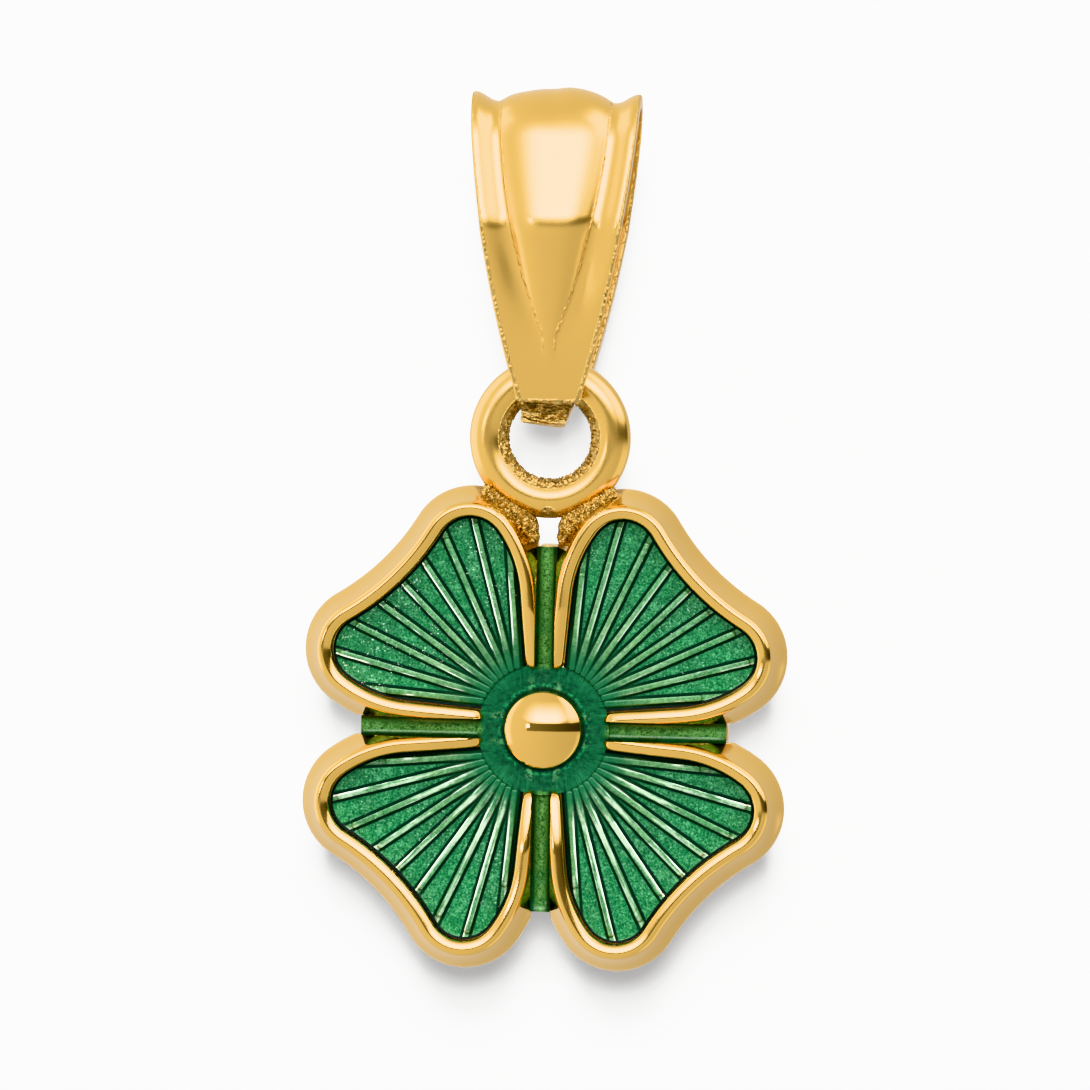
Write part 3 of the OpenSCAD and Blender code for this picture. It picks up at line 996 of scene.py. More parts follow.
    def cut_foot(self, piece, bottom):
        """Cuts the step under the end of the front wall with a rough block, and the slot in the foot bar."""
        for name, low, high, lean, seed, rough in (
            ("step_cutter", (-1, -1.4, bottom + 0.16), (1, -0.37, bottom + 0.5), 3, 3, 0.02),
            ("bar_cutter", (-1, -1.4, bottom - 0.3), (1, -0.45, bottom + 0.2), 0, 5, 0.006),
            ("lower_cutter", (-1, -1.4, bottom - 0.35), (1, 1.4, bottom + 0.025), 9, 8, 0.006),
            ("corner_cutter", (0.29, -1.4, bottom - 0.4), (0.62, 1.4, bottom + 0.5), 20, 9, 0.008),
            ("slot_cutter", (-0.42, -0.6, bottom + 0.1), (0.22, -0.36, bottom + 0.13), 10, 7, 0.003),
        ):
            bare()
            middle = [(a + b) / 2 for a, b in zip(low, high)]
            bpy.ops.mesh.primitive_cube_add(
                size=1, location=middle, scale=[b - a for a, b in zip(low, high)]
            )
            cutter = started(name)
            bpy.ops.mesh.subdivide(number_cuts=30)
            bpy.ops.transform.vertex_random(offset=rough, uniform=1, normal=0, seed=seed)
            bpy.ops.mesh.select_all(action="SELECT")
            turn(lean, middle, "Y")
            apply_modifier(piece, "BOOLEAN", operation="DIFFERENCE", solver="MANIFOLD", object=cutter)
            bare()
            bpy.data.objects.remove(cutter)
        # The rough blocks leave a few loose specks of metal, so only what hangs on the top of the bail stays
        edit(piece)
        pick(piece, lambda v: v.co.z > 0)
        bpy.ops.mesh.select_linked()
        bpy.ops.mesh.select_all(action="INVERT")
        bpy.ops.mesh.delete(type="VERT")
        bare()

    def rough(self, s, at, top, bottom):
        """Where the band is left rough: its cut edges, the creases and the foot."""
        wide = self.side_half(s, min(at.z, top), top, bottom)
        edge = smooth(abs(at.x), wide - 0.11, wide - 0.03) * (0.5 + 0.3 * smooth(-at.z, 0.5, 3))
        edge *= 1 - 0.6 * smooth(abs(at.x), wide - 0.03, wide)
        crease = 0.0
        if -4.6 < at.z:
            off = abs(abs(at.x) - self.panel_half(s, at.z, top))
            crease = (1 - smooth(off, 0.015, 0.07)) * 0.45
        foot = smooth(bottom + 0.62 - at.z, 0, 0.12) * smooth(-at.y, 0.0, 0.2)
        foot *= 0.4 + 0.6 * smooth(at.z - bottom, 0.12, 0.2)
        return max(edge, crease, foot)


# Clover casting


class CHARM_OT_leaf_settings(Operator):
    """Builds the leaves' gold: a rim's section swept round one leaf, closed, cut at the channels and copied"""

    bl_idname = "charm.leaf_settings"
    bl_label = "Leaf settings"

    def execute(self, context):
        s = context.scene.charm_clover
        arcs = leaf_arcs()
        crest = (CREST_IN, mm(s.thickness) - CREST_RADIUS)
        edge = (mm(s.rim_width) - EDGE_RADIUS, EDGE_RISE)
        run = Vector((edge[0] - crest[0], edge[1] - crest[1]))
        lean = math.acos((CREST_RADIUS - EDGE_RADIUS) / run.length)
        slope = math.degrees(math.atan2(run.y, run.x) + lean)
        dip = mm(s.leaf_dip)
        floor = mm(s.leaf_floor)

        def at(u, w):
            """A point of the section, out from the enamel's edge and up from the back."""
            return Vector((dip + u, 0, w))

        def on(middle, radius, angle):
            """A point of the section on a round."""
            way = math.radians(angle)
            return at(middle[0] + radius * math.cos(way), middle[1] + radius * math.sin(way))

        def rise(start, end, steps, bulge=0.0):
            """Draws a wall in steps, bowed by a bulge."""
            way = Vector(end) - Vector(start)
            out = Vector((-way.z, 0, way.x)).normalized() * -bulge

            def bow(t):
                return out * (4 * t * (1 - t))

            for i in range(steps):
                a, b = i / steps, (i + 1) / steps
                pull(way * (b - a) + bow(b) - bow(a))

        # Section of the rim: inside wall, bevel, crest, long slope, edge and the turn under to the back
        wall_top, bevel_foot = at(0, 1.43), at(0.014, 1.455)
        piece = pen("leaf_setting_1", at(0, floor))
        rise(at(0, floor), wall_top, 2)
        rise(wall_top, bevel_foot, 1)
        rise(bevel_foot, on(crest, CREST_RADIUS, LIP_ANGLE), 3, -0.006)
        sweep(slope - LIP_ANGLE, at(*crest), (0, -1, 0), 9)
        rise(on(crest, CREST_RADIUS, slope), on(edge, EDGE_RADIUS, slope), 6, 0.016)
        sweep(-EDGE_TURN - slope, at(*edge), (0, -1, 0), 6)
        under = on(edge, EDGE_RADIUS, -EDGE_TURN)
        back = at(under.x - dip - under.z * math.tan(math.radians(EDGE_TURN)) + 0.02, 0.04)
        rise(under, back, 4)
        pull(at(back.x - dip - 0.04, 0) - back)
        bpy.ops.mesh.select_all(action="SELECT")
        rounded_rail(arcs)
        self.flank(arcs)

        apply_modifier(piece, "MIRROR", use_axis=(False, True, False), merge_threshold=0.001)
        edit(piece)
        self.close(piece)
        outward()

        # The channels' walls
        wall = mm(s.channel_width) / 2
        walls = [Vector((math.sqrt(0.5), sign * math.sqrt(0.5), 0)) for sign in (1, -1)]
        for side in walls:
            bpy.ops.mesh.select_all(action="SELECT")
            bpy.ops.mesh.bisect(
                plane_co=side * wall, plane_no=side, use_fill=True, clear_inner=True, threshold=0.0001
            )
        outward()
        pick(
            piece,
            lambda e: all(
                min(abs(v.co.dot(n) - wall) for n in walls) < 0.002 and v.co.z > 0.95 for v in e.verts
            )
            and len(e.link_faces) == 2
            and e.calc_face_angle(0) > math.radians(25),
            "EDGE",
        )
        bpy.ops.mesh.bevel(offset=0.035, segments=3, affect="EDGES", clamp_overlap=True)
        outward()
        bpy.ops.mesh.select_all(action="SELECT")
        turn(45, (0, 0, 0))
        bare()

        leaves = [piece] + [copy_of(piece, f"leaf_setting_{n + 1}") for n in range(1, LEAVES)]
        for n, leaf in enumerate(leaves):
            edit(leaf)
            bpy.ops.mesh.select_all(action="SELECT")
            turn(90 * n, (0, 0, 0))
            bare()
            mark(leaf, "cast", self.rough)
            mark(leaf, "polish", lambda at: 0.72)
            set_down(leaf, front=True)
            deliver_clover_gold(leaf, 32)
        return {"FINISHED"}

    def flank(self, arcs):
        """Runs the rim along the flank. Its end tapers, turns in to the channel and sinks under the pool."""
        way, side = arcs["flank_way"], arcs["flank_side"]
        start = arcs["flank_start"]
        full = -start.dot(way) - math.sqrt(max(1.2 ** 2 - (start - way * start.dot(way)).length ** 2, 0))
        low = 1.0
        for i in range(14):
            pull(way * (full - 0.3) / 14)
            height = 1 - 0.085 * max((i - 3) / 10, 0) ** 1.3
            stretch((1, 1, height / low))
            low = height
        for step, inward, height in (
            (0.12, 0.004, 0.9), (0.08, 0.012, 0.885), (0.05, 0.022, 0.865), (0.03, 0.03, 0.84),
            (0.02, 0.03, 0.8),
            (0.012, 0.03, 0.72), (0.008, 0.03, 0.6), (0.1, 0, 0.42), (0.5, 0, 0.42),
        ):
            pull(way * step + side * inward)
            stretch((1, 1, height / low))
            low = height

    def close(self, piece):
        """Fills the floor, the back and the two ends."""
        mesh = bmesh.from_edit_mesh(piece.data)
        open_edges = [e for e in mesh.edges if len(e.link_faces) == 1]
        chains = self.chains(open_edges)
        if len(chains) != 1:
            raise RuntimeError(f"the leaf's open edges form {len(chains)} loops, not 1")
        # The rim's two open ends are joined by the floor's and the back's last edges.
        ends = [v for v in mesh.verts if sum(len(e.link_faces) == 1 for e in v.link_edges) == 2]
        corners = self.corners(ends)
        bpy.ops.mesh.select_mode(type="VERT")
        for pair in corners:
            self.join_up(piece, pair)
        for pair in corners:
            self.fill_between(piece, pair)
        bpy.ops.mesh.select_all(action="DESELECT")
        bpy.ops.mesh.select_mode(type="EDGE")
        bpy.ops.mesh.select_non_manifold(
            extend=False, use_wire=False, use_boundary=True, use_multi_face=False
        )
        bpy.ops.mesh.edge_face_add()

    def chains(self, edges):
        """Groups edges that touch."""
        left, found = set(edges), []
        while left:
            group, front = set(), [left.pop()]
            while front:
                edge = front.pop()
                group.add(edge)
                for vertex in edge.verts:
                    for other in vertex.link_edges:
                        if other in left:
                            left.discard(other)
                            front.append(other)
            found.append(group)
        return found

    def corners(self, ends):
        """The floor's and the back's last vertices at the two ends of the rim, as pairs across the leaf."""
        nearest = min(v.co.x for v in ends)
        last = [v for v in ends if v.co.x < nearest + 0.6 and len(v.link_faces) == 1]
        last.sort(key=lambda v: (v.co.z, v.co.y))
        return [(v.index, w.index) for v, w in zip(last[0::2], last[1::2])]

    def join_up(self, piece, pair):
        """Adds the edge between two vertices."""
        mesh = bmesh.from_edit_mesh(piece.data)
        mesh.verts.ensure_lookup_table()
        bpy.ops.mesh.select_all(action="DESELECT")
        for index in pair:
            mesh.verts[index].select_set(True)
        bmesh.update_edit_mesh(piece.data)
        bpy.ops.mesh.edge_face_add()

    def fill_between(self, piece, pair):
        """Fills the loop of rail edges that one joining edge closes."""
        mesh = bmesh.from_edit_mesh(piece.data)
        mesh.verts.ensure_lookup_table()
        start, end = (mesh.verts[i] for i in pair)
        bpy.ops.mesh.select_all(action="DESELECT")
        bpy.ops.mesh.select_mode(type="VERT")
        walk, seen = start, {start}
        while walk is not end:
            walk.select_set(True)
            # Along the rail the height stays that of the floor or the back, or sinks with the rim's end.
            nexts = [
                e.other_vert(walk)
                for e in walk.link_edges
                if len(e.link_faces) == 1 and e.other_vert(walk) not in seen
            ]
            nexts = [v for v in nexts if len(v.link_faces) <= 2]
            nexts.sort(key=lambda v: (v.co - walk.co).normalized().z ** 2)
            if not nexts:
                raise RuntimeError("the rail of the leaf is broken")
            walk = nexts[0]
            seen.add(walk)
        end.select_set(True)
        mesh.select_flush_mode()
        bmesh.update_edit_mesh(piece.data)
        bpy.ops.mesh.edge_face_add()

    def rough(self, at):
        """Where the casting stays rough: the back, the inside walls and beside the solder."""
        back = smooth(-at.z, -0.12, -0.02) * 0.3
        ring = Vector((0, 5.56, at.z))
        solder = (1 - smooth((at - ring).length, 1.6, 1.85)) * 0.9
        beside = smooth(min(abs(at.x), abs(at.y)), 0.19, 0.21)
        channel = (1 - beside) * (1 - smooth(at.z, 1.3, 1.4)) * 0.5
        return max(back, solder, channel)


class CHARM_OT_cross_plate(Operator):
    """Builds the gold under the channels and the pool"""

    bl_idname = "charm.cross_plate"
    bl_label = "Cross plate"

    def execute(self, context):
        s = context.scene.charm_clover
        half, reach, height = mm(s.channel_width) / 2, mm(s.channel_reach), mm(s.channel_floor)
        bare()
        bpy.ops.mesh.primitive_plane_add(size=2 * half)
        piece = started("cross_plate")
        for way in (Vector((1, 0, 0)), Vector((-1, 0, 0)), Vector((0, 1, 0)), Vector((0, -1, 0))):
            pick(
                piece,
                lambda e: (sum((v.co for v in e.verts), Vector()) / 2 - way * half).xy.length < 1e-4,
                "EDGE"
            )
            for _ in range(10):
                pull(way * (reach - half) / 10)
            bpy.ops.mesh.bevel(offset=0.08, segments=3, affect="VERTICES")
        bpy.ops.mesh.select_mode(type="FACE")
        bpy.ops.mesh.select_all(action="SELECT")
        pull((0, 0, height))
        outward()
        bare()
        bpy.ops.mesh.primitive_cylinder_add(
            vertices=96, radius=mm(s.pool_radius) + 0.2, depth=height - 0.03,
            location=(0, 0, height / 2 - 0.01)
        )
        hub = started("hub")
        pick(hub, lambda e: len(e.link_faces) == 2 and e.calc_face_angle(0) > 1, "EDGE")
        bpy.ops.mesh.bevel(offset=0.02, segments=2, affect="EDGES")
        bare()
        join(piece, hub)
        mark(piece, "cast", lambda at: 0.3)
        set_down(piece, front=True)
        deliver_clover_gold(piece, 40)
        return {"FINISHED"}


class CHARM_OT_dome(Operator):
    """Builds the dome in the middle: a round cap on a short collar, drawn in section and turned once"""

    bl_idname = "charm.dome"
    bl_label = "Dome"

    def execute(self, context):
        s = context.scene.charm_clover
        radius, low, brim, round_radius = mm(s.dome_radius), mm(s.channel_floor) + 0.05, 1.3, 1.08
        half_angle = math.degrees(math.asin(radius / round_radius))
        # Half the dome's outline, up the collar and over the cap to the middle, then turned once
        piece = pen("centre_dome", (0, 0, low))
        for _ in range(6):
            pull((radius / 6, 0, 0))
        for _ in range(6):
            pull((0, 0, (brim - low) / 6))
        sweep(-half_angle, (0, 0, brim - math.sqrt(round_radius ** 2 - radius ** 2)), (0, 1, 0), 28)
        bpy.ops.mesh.select_all(action="SELECT")
        sweep(360, (0, 0, 0), (0, 0, 1), 96)
        outward()
        pick(
            piece, lambda e: e.calc_face_angle(0) > math.radians(30) and e.verts[0].co.z > brim - 0.01,
            "EDGE"
        )
        bpy.ops.mesh.bevel(offset=0.05, segments=4, affect="EDGES")
        outward()
        bare()
        mark(piece, "cast", lambda at: 0.0)
        mark(piece, "polish", lambda at: 1.0)
        set_down(piece, front=True)
        deliver_clover_gold(piece, 40)
        return {"FINISHED"}


class CHARM_OT_ring(Operator):
    """Builds the ring: a torus whose inner wall is flattened and left granular"""

    bl_idname = "charm.ring"
    bl_label = "Ring"

    def execute(self, context):
        s = context.scene.charm_clover
        wire = mm(s.ring_wire) / 2
        mean = mm(s.ring_hole) + wire
        up = ring_up()
        bare()
        bpy.ops.mesh.primitive_torus_add(
            major_segments=224, minor_segments=56, major_radius=mean, minor_radius=wire,
            location=(0, up, 0.8)
        )
        piece = started("hanging_ring")
        hole = Vector((0, up))
        pick(piece, lambda v: (v.co.xy - hole).length < mean - wire * 0.72)
        stretch((0.972, 0.972, 1), (0, up, 0))
        bpy.ops.transform.vertex_random(offset=0.026, uniform=0.6, normal=0.4, seed=11)
        pick(piece, lambda v: (v.co.xy - hole).length < mean - wire * 0.9)
        bpy.ops.transform.vertex_random(offset=0.014, uniform=1, normal=0, seed=12)
        outward()
        bare()
        pit = hole - Vector((0, mean + wire * 0.8))
        mark(piece, "cast", lambda at: max(
            smooth(mean - (at.xy - hole).length, wire * 0.5, wire * 0.66),
            1 - smooth((at.xy - pit).length, 0.12, 0.2)
        ))
        mark(piece, "polish", lambda at: 0.3)
        set_down(piece, front=True)
        deliver_clover_gold(piece, 40)
        return {"FINISHED"}


def ring_up():
    """Height of the ring's middle above the dome's, in millimetres."""
    s = bpy.context.scene.charm_clover
    high = mm(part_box("clover_frame")[1][2]) - mm(clover_middle().z)
    return high - mm(s.ring_hole + s.ring_wire)


class CHARM_OT_solder(Operator):
    """Builds the two grainy fillets of solder between the ring and the upper leaves"""

    bl_idname = "charm.solder"
    bl_label = "Solder"

    def execute(self, context):
        up, s = ring_up(), context.scene.charm_clover
        outer = mm(s.ring_hole + s.ring_wire)
        for sign in (1, -1):
            name = "solder_right" if sign > 0 else "solder_left"
            lumps = []
            for i, (angle, away, size, tall) in enumerate((
                (-81.5, 0.38, 0.11, 0.4), (-79, 0.22, 0.15, 0.42), (-76, 0.15, 0.18, 0.44),
                (-72, 0.12, 0.2, 0.45), (-67, 0.1, 0.21, 0.46), (-62, 0.08, 0.21, 0.46),
                (-57, 0.07, 0.21, 0.45), (-52, 0.06, 0.19, 0.43),
                (-47, 0.05, 0.16, 0.4), (-42, 0.04, 0.13, 0.36),
            )):
                bare()
                bpy.ops.mesh.primitive_ico_sphere_add(subdivisions=5, radius=1)
                lump = started(f"{name}_{i}")
                stretch((size * 0.9, size * 1.2, tall))
                turn(sign * (angle + 90), (0, 0, 0))
                at = around(angle, outer + away)
                shift((sign * at.x, up + at.y, 0.77))
                bare()
                lumps.append(lump)
            blob = join(*lumps)
            apply_modifier(blob, "REMESH", mode="VOXEL", voxel_size=0.022)
            blob.name = blob.data.name = name
            edit(blob)
            outward()
            bpy.ops.transform.vertex_random(offset=0.03, uniform=0.5, normal=0.5, seed=31 + sign)
            bare()
            mark(blob, "cast", lambda at: 1.0)
            set_down(blob, front=True)
            deliver_clover_gold(blob, 60)
        return {"FINISHED"}


# Enamel


class CHARM_OT_leaf_enamel(Operator):
    """Builds the ribbed enamel of the four leaves"""

    bl_idname = "charm.leaf_enamel"
    bl_label = "Leaf enamel"

    def execute(self, context):
        s, clover = context.scene.charm_enamel, context.scene.charm_clover
        arcs = leaf_arcs()
        gap, low = mm(s.gap), mm(clover.leaf_floor + s.gap)
        top = low + mm(s.leaf_thickness)
        pool = mm(clover.pool_radius) + gap
        dip = mm(clover.leaf_dip)

        # Outline of the plate, drawn at the floor and a gap inside the gold
        piece = pen("ribbed_enamel_1", (dip - gap, 0, low))
        rounded_rail(arcs)
        way, start = arcs["flank_way"], arcs["flank_start"] - arcs["flank_side"] * gap
        along = start.dot(way)
        off = (start - way * along).length
        length = -along - math.sqrt(pool * pool - off * off)
        for _ in range(10):
            pull(way * length / 10)
        end = start + way * length
        sweep(-math.degrees(math.atan2(end.y, end.x)), (0, 0, 0), (0, 0, 1), 5)
        apply_modifier(piece, "MIRROR", use_axis=(False, True, False), merge_threshold=0.002)
        edit(piece)
        bpy.ops.mesh.select_all(action="SELECT")
        bpy.ops.mesh.remove_doubles(threshold=0.002)
        bpy.ops.mesh.edge_face_add()
        pull((0, 0, top - low - 0.02))
        outward()
        pick(piece, lambda f: f.normal.z > 0.9, "FACE")
        # The surface rises a little where it wets the gold
        for step, drop in ((0.02, 0.006), (0.025, 0.006), (0.015, 0.003), (0.03, 0.005)):
            bpy.ops.mesh.inset(thickness=step, depth=-drop)
        bpy.ops.mesh.select_mode(type="FACE")
        pick(piece, lambda f: f.normal.z > 0.7 and f.calc_center_median().z > low + 0.1, "FACE")
        shift((0, 0, 0.02))
        bare()
        outline = self.outline(piece, low)
        # The rim mark tells the enamel's material where to paint shade along the gold wall
        mark(piece, "rim", lambda at: 1 - min(self.to_outline(at, outline) / 0.09, 1))
        # Only the outermost band of the plate is marked
        inside = max(piece.data.polygons, key=lambda face: (face.normal.z > 0.9) * face.area)
        for index in inside.vertices:
            piece.data.attributes["rim"].data[index].value = 0
        half_count = (s.rib_count - 1) // 2
        ribs = []
        for number in range(-half_count, half_count + 1):
            ribs.append(self.rib(s, number, outline, top))
        join(piece, *ribs)
        edit(piece)
        bpy.ops.mesh.select_all(action="SELECT")
        turn(45, (0, 0, 0))
        bare()
        leaves = [piece] + [copy_of(piece, f"ribbed_enamel_{n + 1}") for n in range(1, LEAVES)]
        for n, leaf in enumerate(leaves):
            edit(leaf)
            bpy.ops.mesh.select_all(action="SELECT")
            turn(90 * n, (0, 0, 0))
            set_down(leaf, front=True)
            deliver(
                leaf, "clover", bpy.data.materials["ribbed_leaf_enamel"],
                [f"leaf_enamel_{n + 1}"], 50
            )
        return {"FINISHED"}

    def outline(self, piece, low):
        """The ends of each edge of the plate's lower outline."""
        spots = [vertex.co.copy() for vertex in piece.data.vertices]
        edges = [[spots[index] for index in edge.vertices] for edge in piece.data.edges]
        return [(a.xy, b.xy) for a, b in edges if abs(a.z - low) < 1e-4 and abs(b.z - low) < 1e-4]

    def to_outline(self, at, outline):
        """How far a point lies from the outline."""
        best, point = 9.0, at.xy
        for a, b in outline:
            side = b - a
            t = min(max((point - a).dot(side) / max(side.length_squared, 1e-12), 0), 1)
            best = min(best, (point - a - side * t).length)
        return best

    def reach(self, start, way, outline):
        """How far a line runs before it meets the outline for the last time."""
        best = 0.0
        for a, b in outline:
            side = b - a
            cross = way.x * side.y - way.y * side.x
            if abs(cross) < 1e-9:
                continue
            t = ((a.x - start.x) * side.y - (a.y - start.y) * side.x) / cross
            u = ((a.x - start.x) * way.y - (a.y - start.y) * way.x) / cross
            if t > 0 and -1e-6 <= u <= 1 + 1e-6:
                best = max(best, t)
        return best

    def rib(self, s, number, outline, top):
        """One rib: a bar with a rounded back and rounded ends, from the pool to just inside the outline."""
        angle = math.degrees(s.rib_step) * number
        fan, width = Vector((mm(s.rib_fan), 0)), mm(s.rib_width)
        way = around(angle).xy
        side = Vector((-way.y, way.x))
        ends = [self.reach(fan + side * k * width * 0.62, way, outline) for k in (-1, 0, 1)]
        far = min(ends) - 0.09
        # The rib starts at its distance from the middle of the dome
        b = fan.dot(way)
        near = -b + math.sqrt(b * b - fan.length_squared + mm(s.rib_start) ** 2)
        length = far - near
        height = mm(s.rib_height)
        bare()
        bpy.ops.mesh.primitive_cube_add(
            size=1, location=(near + length / 2, 0, top - 0.05 + (height + 0.05) / 2),
            scale=(length, width, height + 0.05)
        )
        rib = started(f"rib_{number + 8}")
        pick(
            rib,
            lambda e: abs((e.verts[0].co - e.verts[1].co).x) < 1e-4
            and abs((e.verts[0].co - e.verts[1].co).y) < 1e-4,
            "EDGE",
        )
        bpy.ops.mesh.bevel(offset=width * 0.42, segments=4, affect="EDGES")
        pick(rib, lambda e: all(v.co.z > top + height - 1e-3 for v in e.verts), "EDGE")
        bpy.ops.mesh.bevel(offset=width * 0.3, segments=4, affect="EDGES")
        bpy.ops.mesh.select_all(action="SELECT")
        shift((fan.x, fan.y, 0))
        turn(angle, (fan.x, fan.y, 0))
        bare()
        return rib


class CHARM_OT_channel_enamel(Operator):
    """Builds the enamel of the four channels and of the pool about the dome"""

    bl_idname = "charm.channel_enamel"
    bl_label = "Channel enamel"

    def execute(self, context):
        s, clover = context.scene.charm_enamel, context.scene.charm_clover
        gap = mm(s.gap)
        half, reach = mm(clover.channel_width) / 2 - 0.003, mm(clover.channel_reach) - gap
        low, high = mm(clover.channel_floor) + gap, mm(s.channel_thickness)
        bare()
        bpy.ops.mesh.primitive_plane_add(size=2 * half, location=(0, 0, low))
        piece = started("channel_enamel")
        for way in (Vector((1, 0, 0)), Vector((-1, 0, 0)), Vector((0, 1, 0)), Vector((0, -1, 0))):
            pick(
                piece,
                lambda e: (sum((v.co for v in e.verts), Vector()) / 2 - way * half).xy.length < 1e-4,
                "EDGE"
            )
            for _ in range(14):
                pull(way * (reach - half) / 14)
        bpy.ops.mesh.select_mode(type="FACE")
        bpy.ops.mesh.select_all(action="SELECT")
        pull((0, 0, high + 0.03))
        outward()
        pick(piece, lambda f: f.normal.z > 0.9, "FACE")
        for step, drop in ((0.03, 0.035), (0.04, 0.02), (0.05, 0.01)):
            bpy.ops.mesh.inset(thickness=step, depth=-drop, use_even_offset=True)
        bare()
        # The pool laps a little over the leaves' enamel, where its edge thins out
        pool = mm(clover.pool_radius) + 0.1
        bpy.ops.mesh.primitive_cylinder_add(
            vertices=160, radius=pool, depth=high + 0.087, location=(0, 0, low + (high + 0.087) / 2),
            end_fill_type="NGON"
        )
        disc = started("pool")
        pick(disc, lambda v: v.co.z < low + 0.01)
        stretch(((pool - 0.12) / pool, (pool - 0.12) / pool, 1))
        pick(disc, lambda f: f.normal.z > 0.9, "FACE")
        for _ in range(6):
            bpy.ops.mesh.inset(thickness=0.055, depth=-0.002)
        bare()
        join(piece, disc)
        set_down(piece, front=True)
        deliver(
            piece, "clover", bpy.data.materials["channel_and_pool_enamel"],
            ["cross_enamel"], 50
        )
        return {"FINISHED"}


# Stage


class CHARM_OT_stage(Operator):
    """Sets the pale sweep, the lights and the camera"""

    bl_idname = "charm.stage"
    bl_label = "Stage"

    def execute(self, context):
        s = context.scene.charm_stage
        floor = self.sweep(s)
        self.world()
        camera = self.camera(s)
        self.lights(s, camera, floor)
        context.scene.view_settings.view_transform = "Khronos PBR Neutral"
        return {"FINISHED"}

    def sweep(self, s):
        """A floor that curves up into a wall, clear from behind so that the charm shows from all sides."""
        bare()
        width, depth, height, drop, curve = 0.5, 0.05, 0.3, 0.024, 0.004

        def at_wall(e):
            """Whether an edge lies in the plane of the wall."""
            return all(v.co.y > s.wall_distance - 0.001 for v in e.verts)

        bpy.ops.mesh.primitive_plane_add(size=1)
        floor = started("pale_sweep")
        stretch((width, depth, 1))
        shift((0, s.wall_distance - depth / 2, -drop))
        pick(floor, at_wall, "EDGE")
        pull((0, 0, height))
        pick(floor, lambda e: at_wall(e) and all(abs(v.co.z + drop) < 1e-4 for v in e.verts), "EDGE")
        bpy.ops.mesh.bevel(offset=curve, segments=12, affect="EDGES")
        take(floor)
        bpy.ops.object.shade_smooth()
        material = bpy.data.materials.new("pale_paper")
        material.use_nodes = True
        tree = material.node_tree
        shader = tree.nodes["Principled BSDF"]
        shader.inputs["Base Color"].default_value = (0.25, 0.25, 0.25, 1)
        shader.inputs["Roughness"].default_value = 0.9
        shader.inputs["Specular IOR Level"].default_value = 0.1
        side = node(tree, "ShaderNodeNewGeometry", (-400, 200))
        clear = node(tree, "ShaderNodeBsdfTransparent", (-200, -200))
        mixed = node(tree, "ShaderNodeMixShader", (200, 100))
        tree.links.new(side.outputs["Backfacing"], mixed.inputs[0])
        tree.links.new(shader.outputs[0], mixed.inputs[1])
        tree.links.new(clear.outputs[0], mixed.inputs[2])
        tree.links.new(mixed.outputs[0], tree.nodes["Material Output"].inputs["Surface"])
        floor.data.materials.append(material)
        floor.visible_glossy = False
        return floor

    def world(self):
        """The studio that the gold mirrors: a pale room with a soft box in front and a dark gap under it."""
        world = bpy.data.worlds.new("studio_room")
        bpy.context.scene.world = world
        world.use_nodes = True
        tree = world.node_tree
        way = node(tree, "ShaderNodeTexCoord", (-1600, 0))
        apart = node(tree, "ShaderNodeSeparateXYZ", (-1400, 0))
        tree.links.new(way.outputs["Generated"], apart.inputs[0])
        up = times(tree, figure(tree, "ARCSINE", apart.outputs[2]), math.degrees(1))
        toward = times(tree, apart.outputs[1], -1)
        side = times(tree, figure(tree, "ARCTAN2", apart.outputs[0], toward), math.degrees(1))

        def patch(sides, heights, soft):
            """1 inside a patch of the room, given by its angles to the side and up, and 0 outside."""
            made = None
            for value, (low, high) in ((side, sides), (up, heights)):
                rise = spread(tree, value, low - soft, low + soft)
                fall = spread(tree, value, high - soft, high + soft, 1, 0)
                part = times(tree, rise, fall)
                made = part if made is None else times(tree, made, part)
            return made

        # The room is a little brighter to the upper left, and behind the charm it darkens downwards
        room = plus(tree, 1.01, times(tree, apart.outputs[2], 0.03))
        room = less(tree, room, times(tree, apart.outputs[0], 0.18))
        behind = figure(tree, "MAXIMUM", apart.outputs[1], 0)
        fall = less(tree, times(tree, apart.outputs[2], 0.2), 0.07)
        room = plus(tree, room, times(tree, behind, fall))
        # A dark gap lies level with the charm, under the soft box
        gap = patch((-35, 112), (-4, 12), 1.5)
        light = less(tree, room, times(tree, gap, 0.78))
        # The soft box has round lower corners and fades out upwards and to the sides
        beyond = figure(tree, "ABSOLUTE", less(tree, side, 4))
        beyond = figure(tree, "MAXIMUM", less(tree, beyond, 20), 0)
        corner = figure(tree, "MINIMUM", times(tree, times(tree, beyond, beyond), 0.006), 40)
        above = less(tree, up, corner)
        box = times(tree, spread(tree, up, 22, 66, 1, 0), spread(tree, side, -58, -12))
        box = times(tree, box, spread(tree, side, 22, 74, 1, 0))
        box = times(tree, figure(tree, "POWER", box, 2), spread(tree, above, 11, 17))
        light = plus(tree, light, times(tree, box, 11))
        # Lit patches high on the right, on the left and low on the right, and a small lamp on the left
        for sides, heights, soft, power in (
            ((56, 104), (16, 62), 7, 4.2),
            ((-128, -74), (-24, 50), 5, 2.2),
            ((75, 130), (-60, -8), 6, 0.5),
            ((-36, -30), (3, 9), 1.5, 25),
        ):
            light = plus(tree, light, times(tree, patch(sides, heights, soft), power))
        back = tree.nodes["Background"]
        tree.links.new(light, back.inputs["Strength"])
        back.inputs["Color"].default_value = (1, 1, 1, 1)

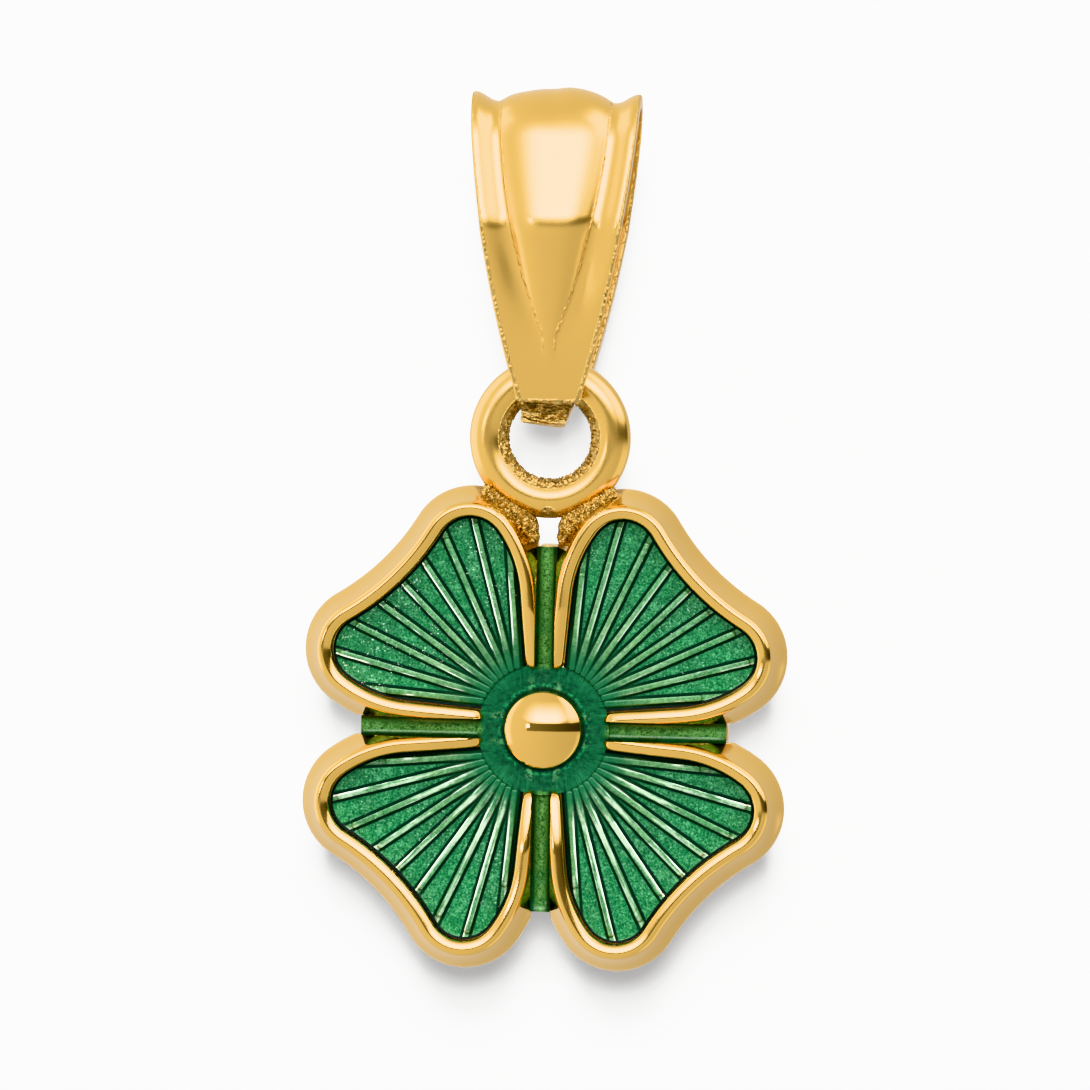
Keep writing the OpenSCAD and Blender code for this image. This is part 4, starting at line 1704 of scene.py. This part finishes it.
    def camera(self, s):
        """A long lens at the photograph's angle."""
        data = bpy.data.cameras.new("camera")
        camera = bpy.data.objects.new("camera", data)
        bpy.context.scene.collection.objects.link(camera)
        a, e = s.azimuth, s.elevation
        back = Vector((math.sin(a) * math.cos(e), -math.cos(a) * math.cos(e), math.sin(e)))
        data.sensor_width = 36
        data.lens = data.sensor_width * s.distance / s.view_width
        camera.location = VIEW_CENTRE + back * s.distance
        camera.rotation_mode = "QUATERNION"
        level = (-back).to_track_quat("-Z", "Y")
        camera.rotation_quaternion = level @ Matrix.Rotation(s.roll, 3, "Z").to_quaternion()
        data.clip_start, data.clip_end = 0.01, 10
        bpy.context.scene.camera = camera
        return camera

    def lights(self, s, camera, floor):
        """Two lamps just above the camera that light the sweep alone, for a close shadow and a wider one."""
        lit = bpy.data.collections.new("lit_sweep")
        lit.objects.link(floor)
        for name, above, aside, size, power in (
            ("close_shadow_lamp", 0.0105, -0.001, 0.016, s.close_light),
            ("wide_shadow_lamp", 0.030, -0.002, 0.024, s.wide_light),
        ):
            data = bpy.data.lights.new(name, "AREA")
            data.shape = "DISK"
            data.size = size
            data.energy = power
            lamp = bpy.data.objects.new(name, data)
            bpy.context.scene.collection.objects.link(lamp)
            lamp.location = camera.location + camera.rotation_quaternion @ Vector((aside, above, 0.001))
            lamp.rotation_mode = "QUATERNION"
            lamp.rotation_quaternion = camera.rotation_quaternion
            lamp.light_linking.receiver_collection = lit


class CHARM_OT_finishes(Operator):
    """Mixes the gold and the enamels"""

    bl_idname = "charm.finishes"
    bl_label = "Finishes"

    def execute(self, context):
        build_gold_group()
        build_rib_group()
        gold_material("polished_bail_gold")
        gold_material("polished_clover_gold")
        leaf_material()
        channel_material()
        return {"FINISHED"}


STEPS = (
    CHARM_OT_finishes,
    CHARM_OT_bail,
    CHARM_OT_leaf_settings,
    CHARM_OT_cross_plate,
    CHARM_OT_dome,
    CHARM_OT_ring,
    CHARM_OT_solder,
    CHARM_OT_leaf_enamel,
    CHARM_OT_channel_enamel,
    CHARM_OT_stage,
)
SETTINGS = {
    "charm_bail": BailSettings,
    "charm_clover": CloverSettings,
    "charm_enamel": EnamelSettings,
    "charm_finish": FinishSettings,
    "charm_stage": StageSettings,
}


class CHARM_PT_panel(Panel):
    """Lists the charm's steps and settings"""

    bl_idname = "CHARM_PT_panel"
    bl_label = "Clover charm"
    bl_space_type = "VIEW_3D"
    bl_region_type = "UI"
    bl_category = "Charm"

    def draw(self, context):
        for step in STEPS:
            self.layout.operator(step.bl_idname)
        for name, settings in SETTINGS.items():
            box = self.layout.box()
            box.label(text=settings.__doc__)
            for prop in settings.__annotations__:
                box.prop(getattr(context.scene, name), prop)


def register():
    for settings in SETTINGS.values():
        bpy.utils.register_class(settings)
    for name, settings in SETTINGS.items():
        setattr(bpy.types.Scene, name, PointerProperty(type=settings))
    for step in STEPS:
        bpy.utils.register_class(step)
    bpy.utils.register_class(CHARM_PT_panel)


def unregister():
    bpy.utils.unregister_class(CHARM_PT_panel)
    for step in reversed(STEPS):
        bpy.utils.unregister_class(step)
    for name, settings in SETTINGS.items():
        delattr(bpy.types.Scene, name)
        bpy.utils.unregister_class(settings)


def main():
    register()
    for step in STEPS:
        family, action = step.bl_idname.split(".")
        getattr(getattr(bpy.ops, family), action)()


if __name__ == "__main__":
    main()
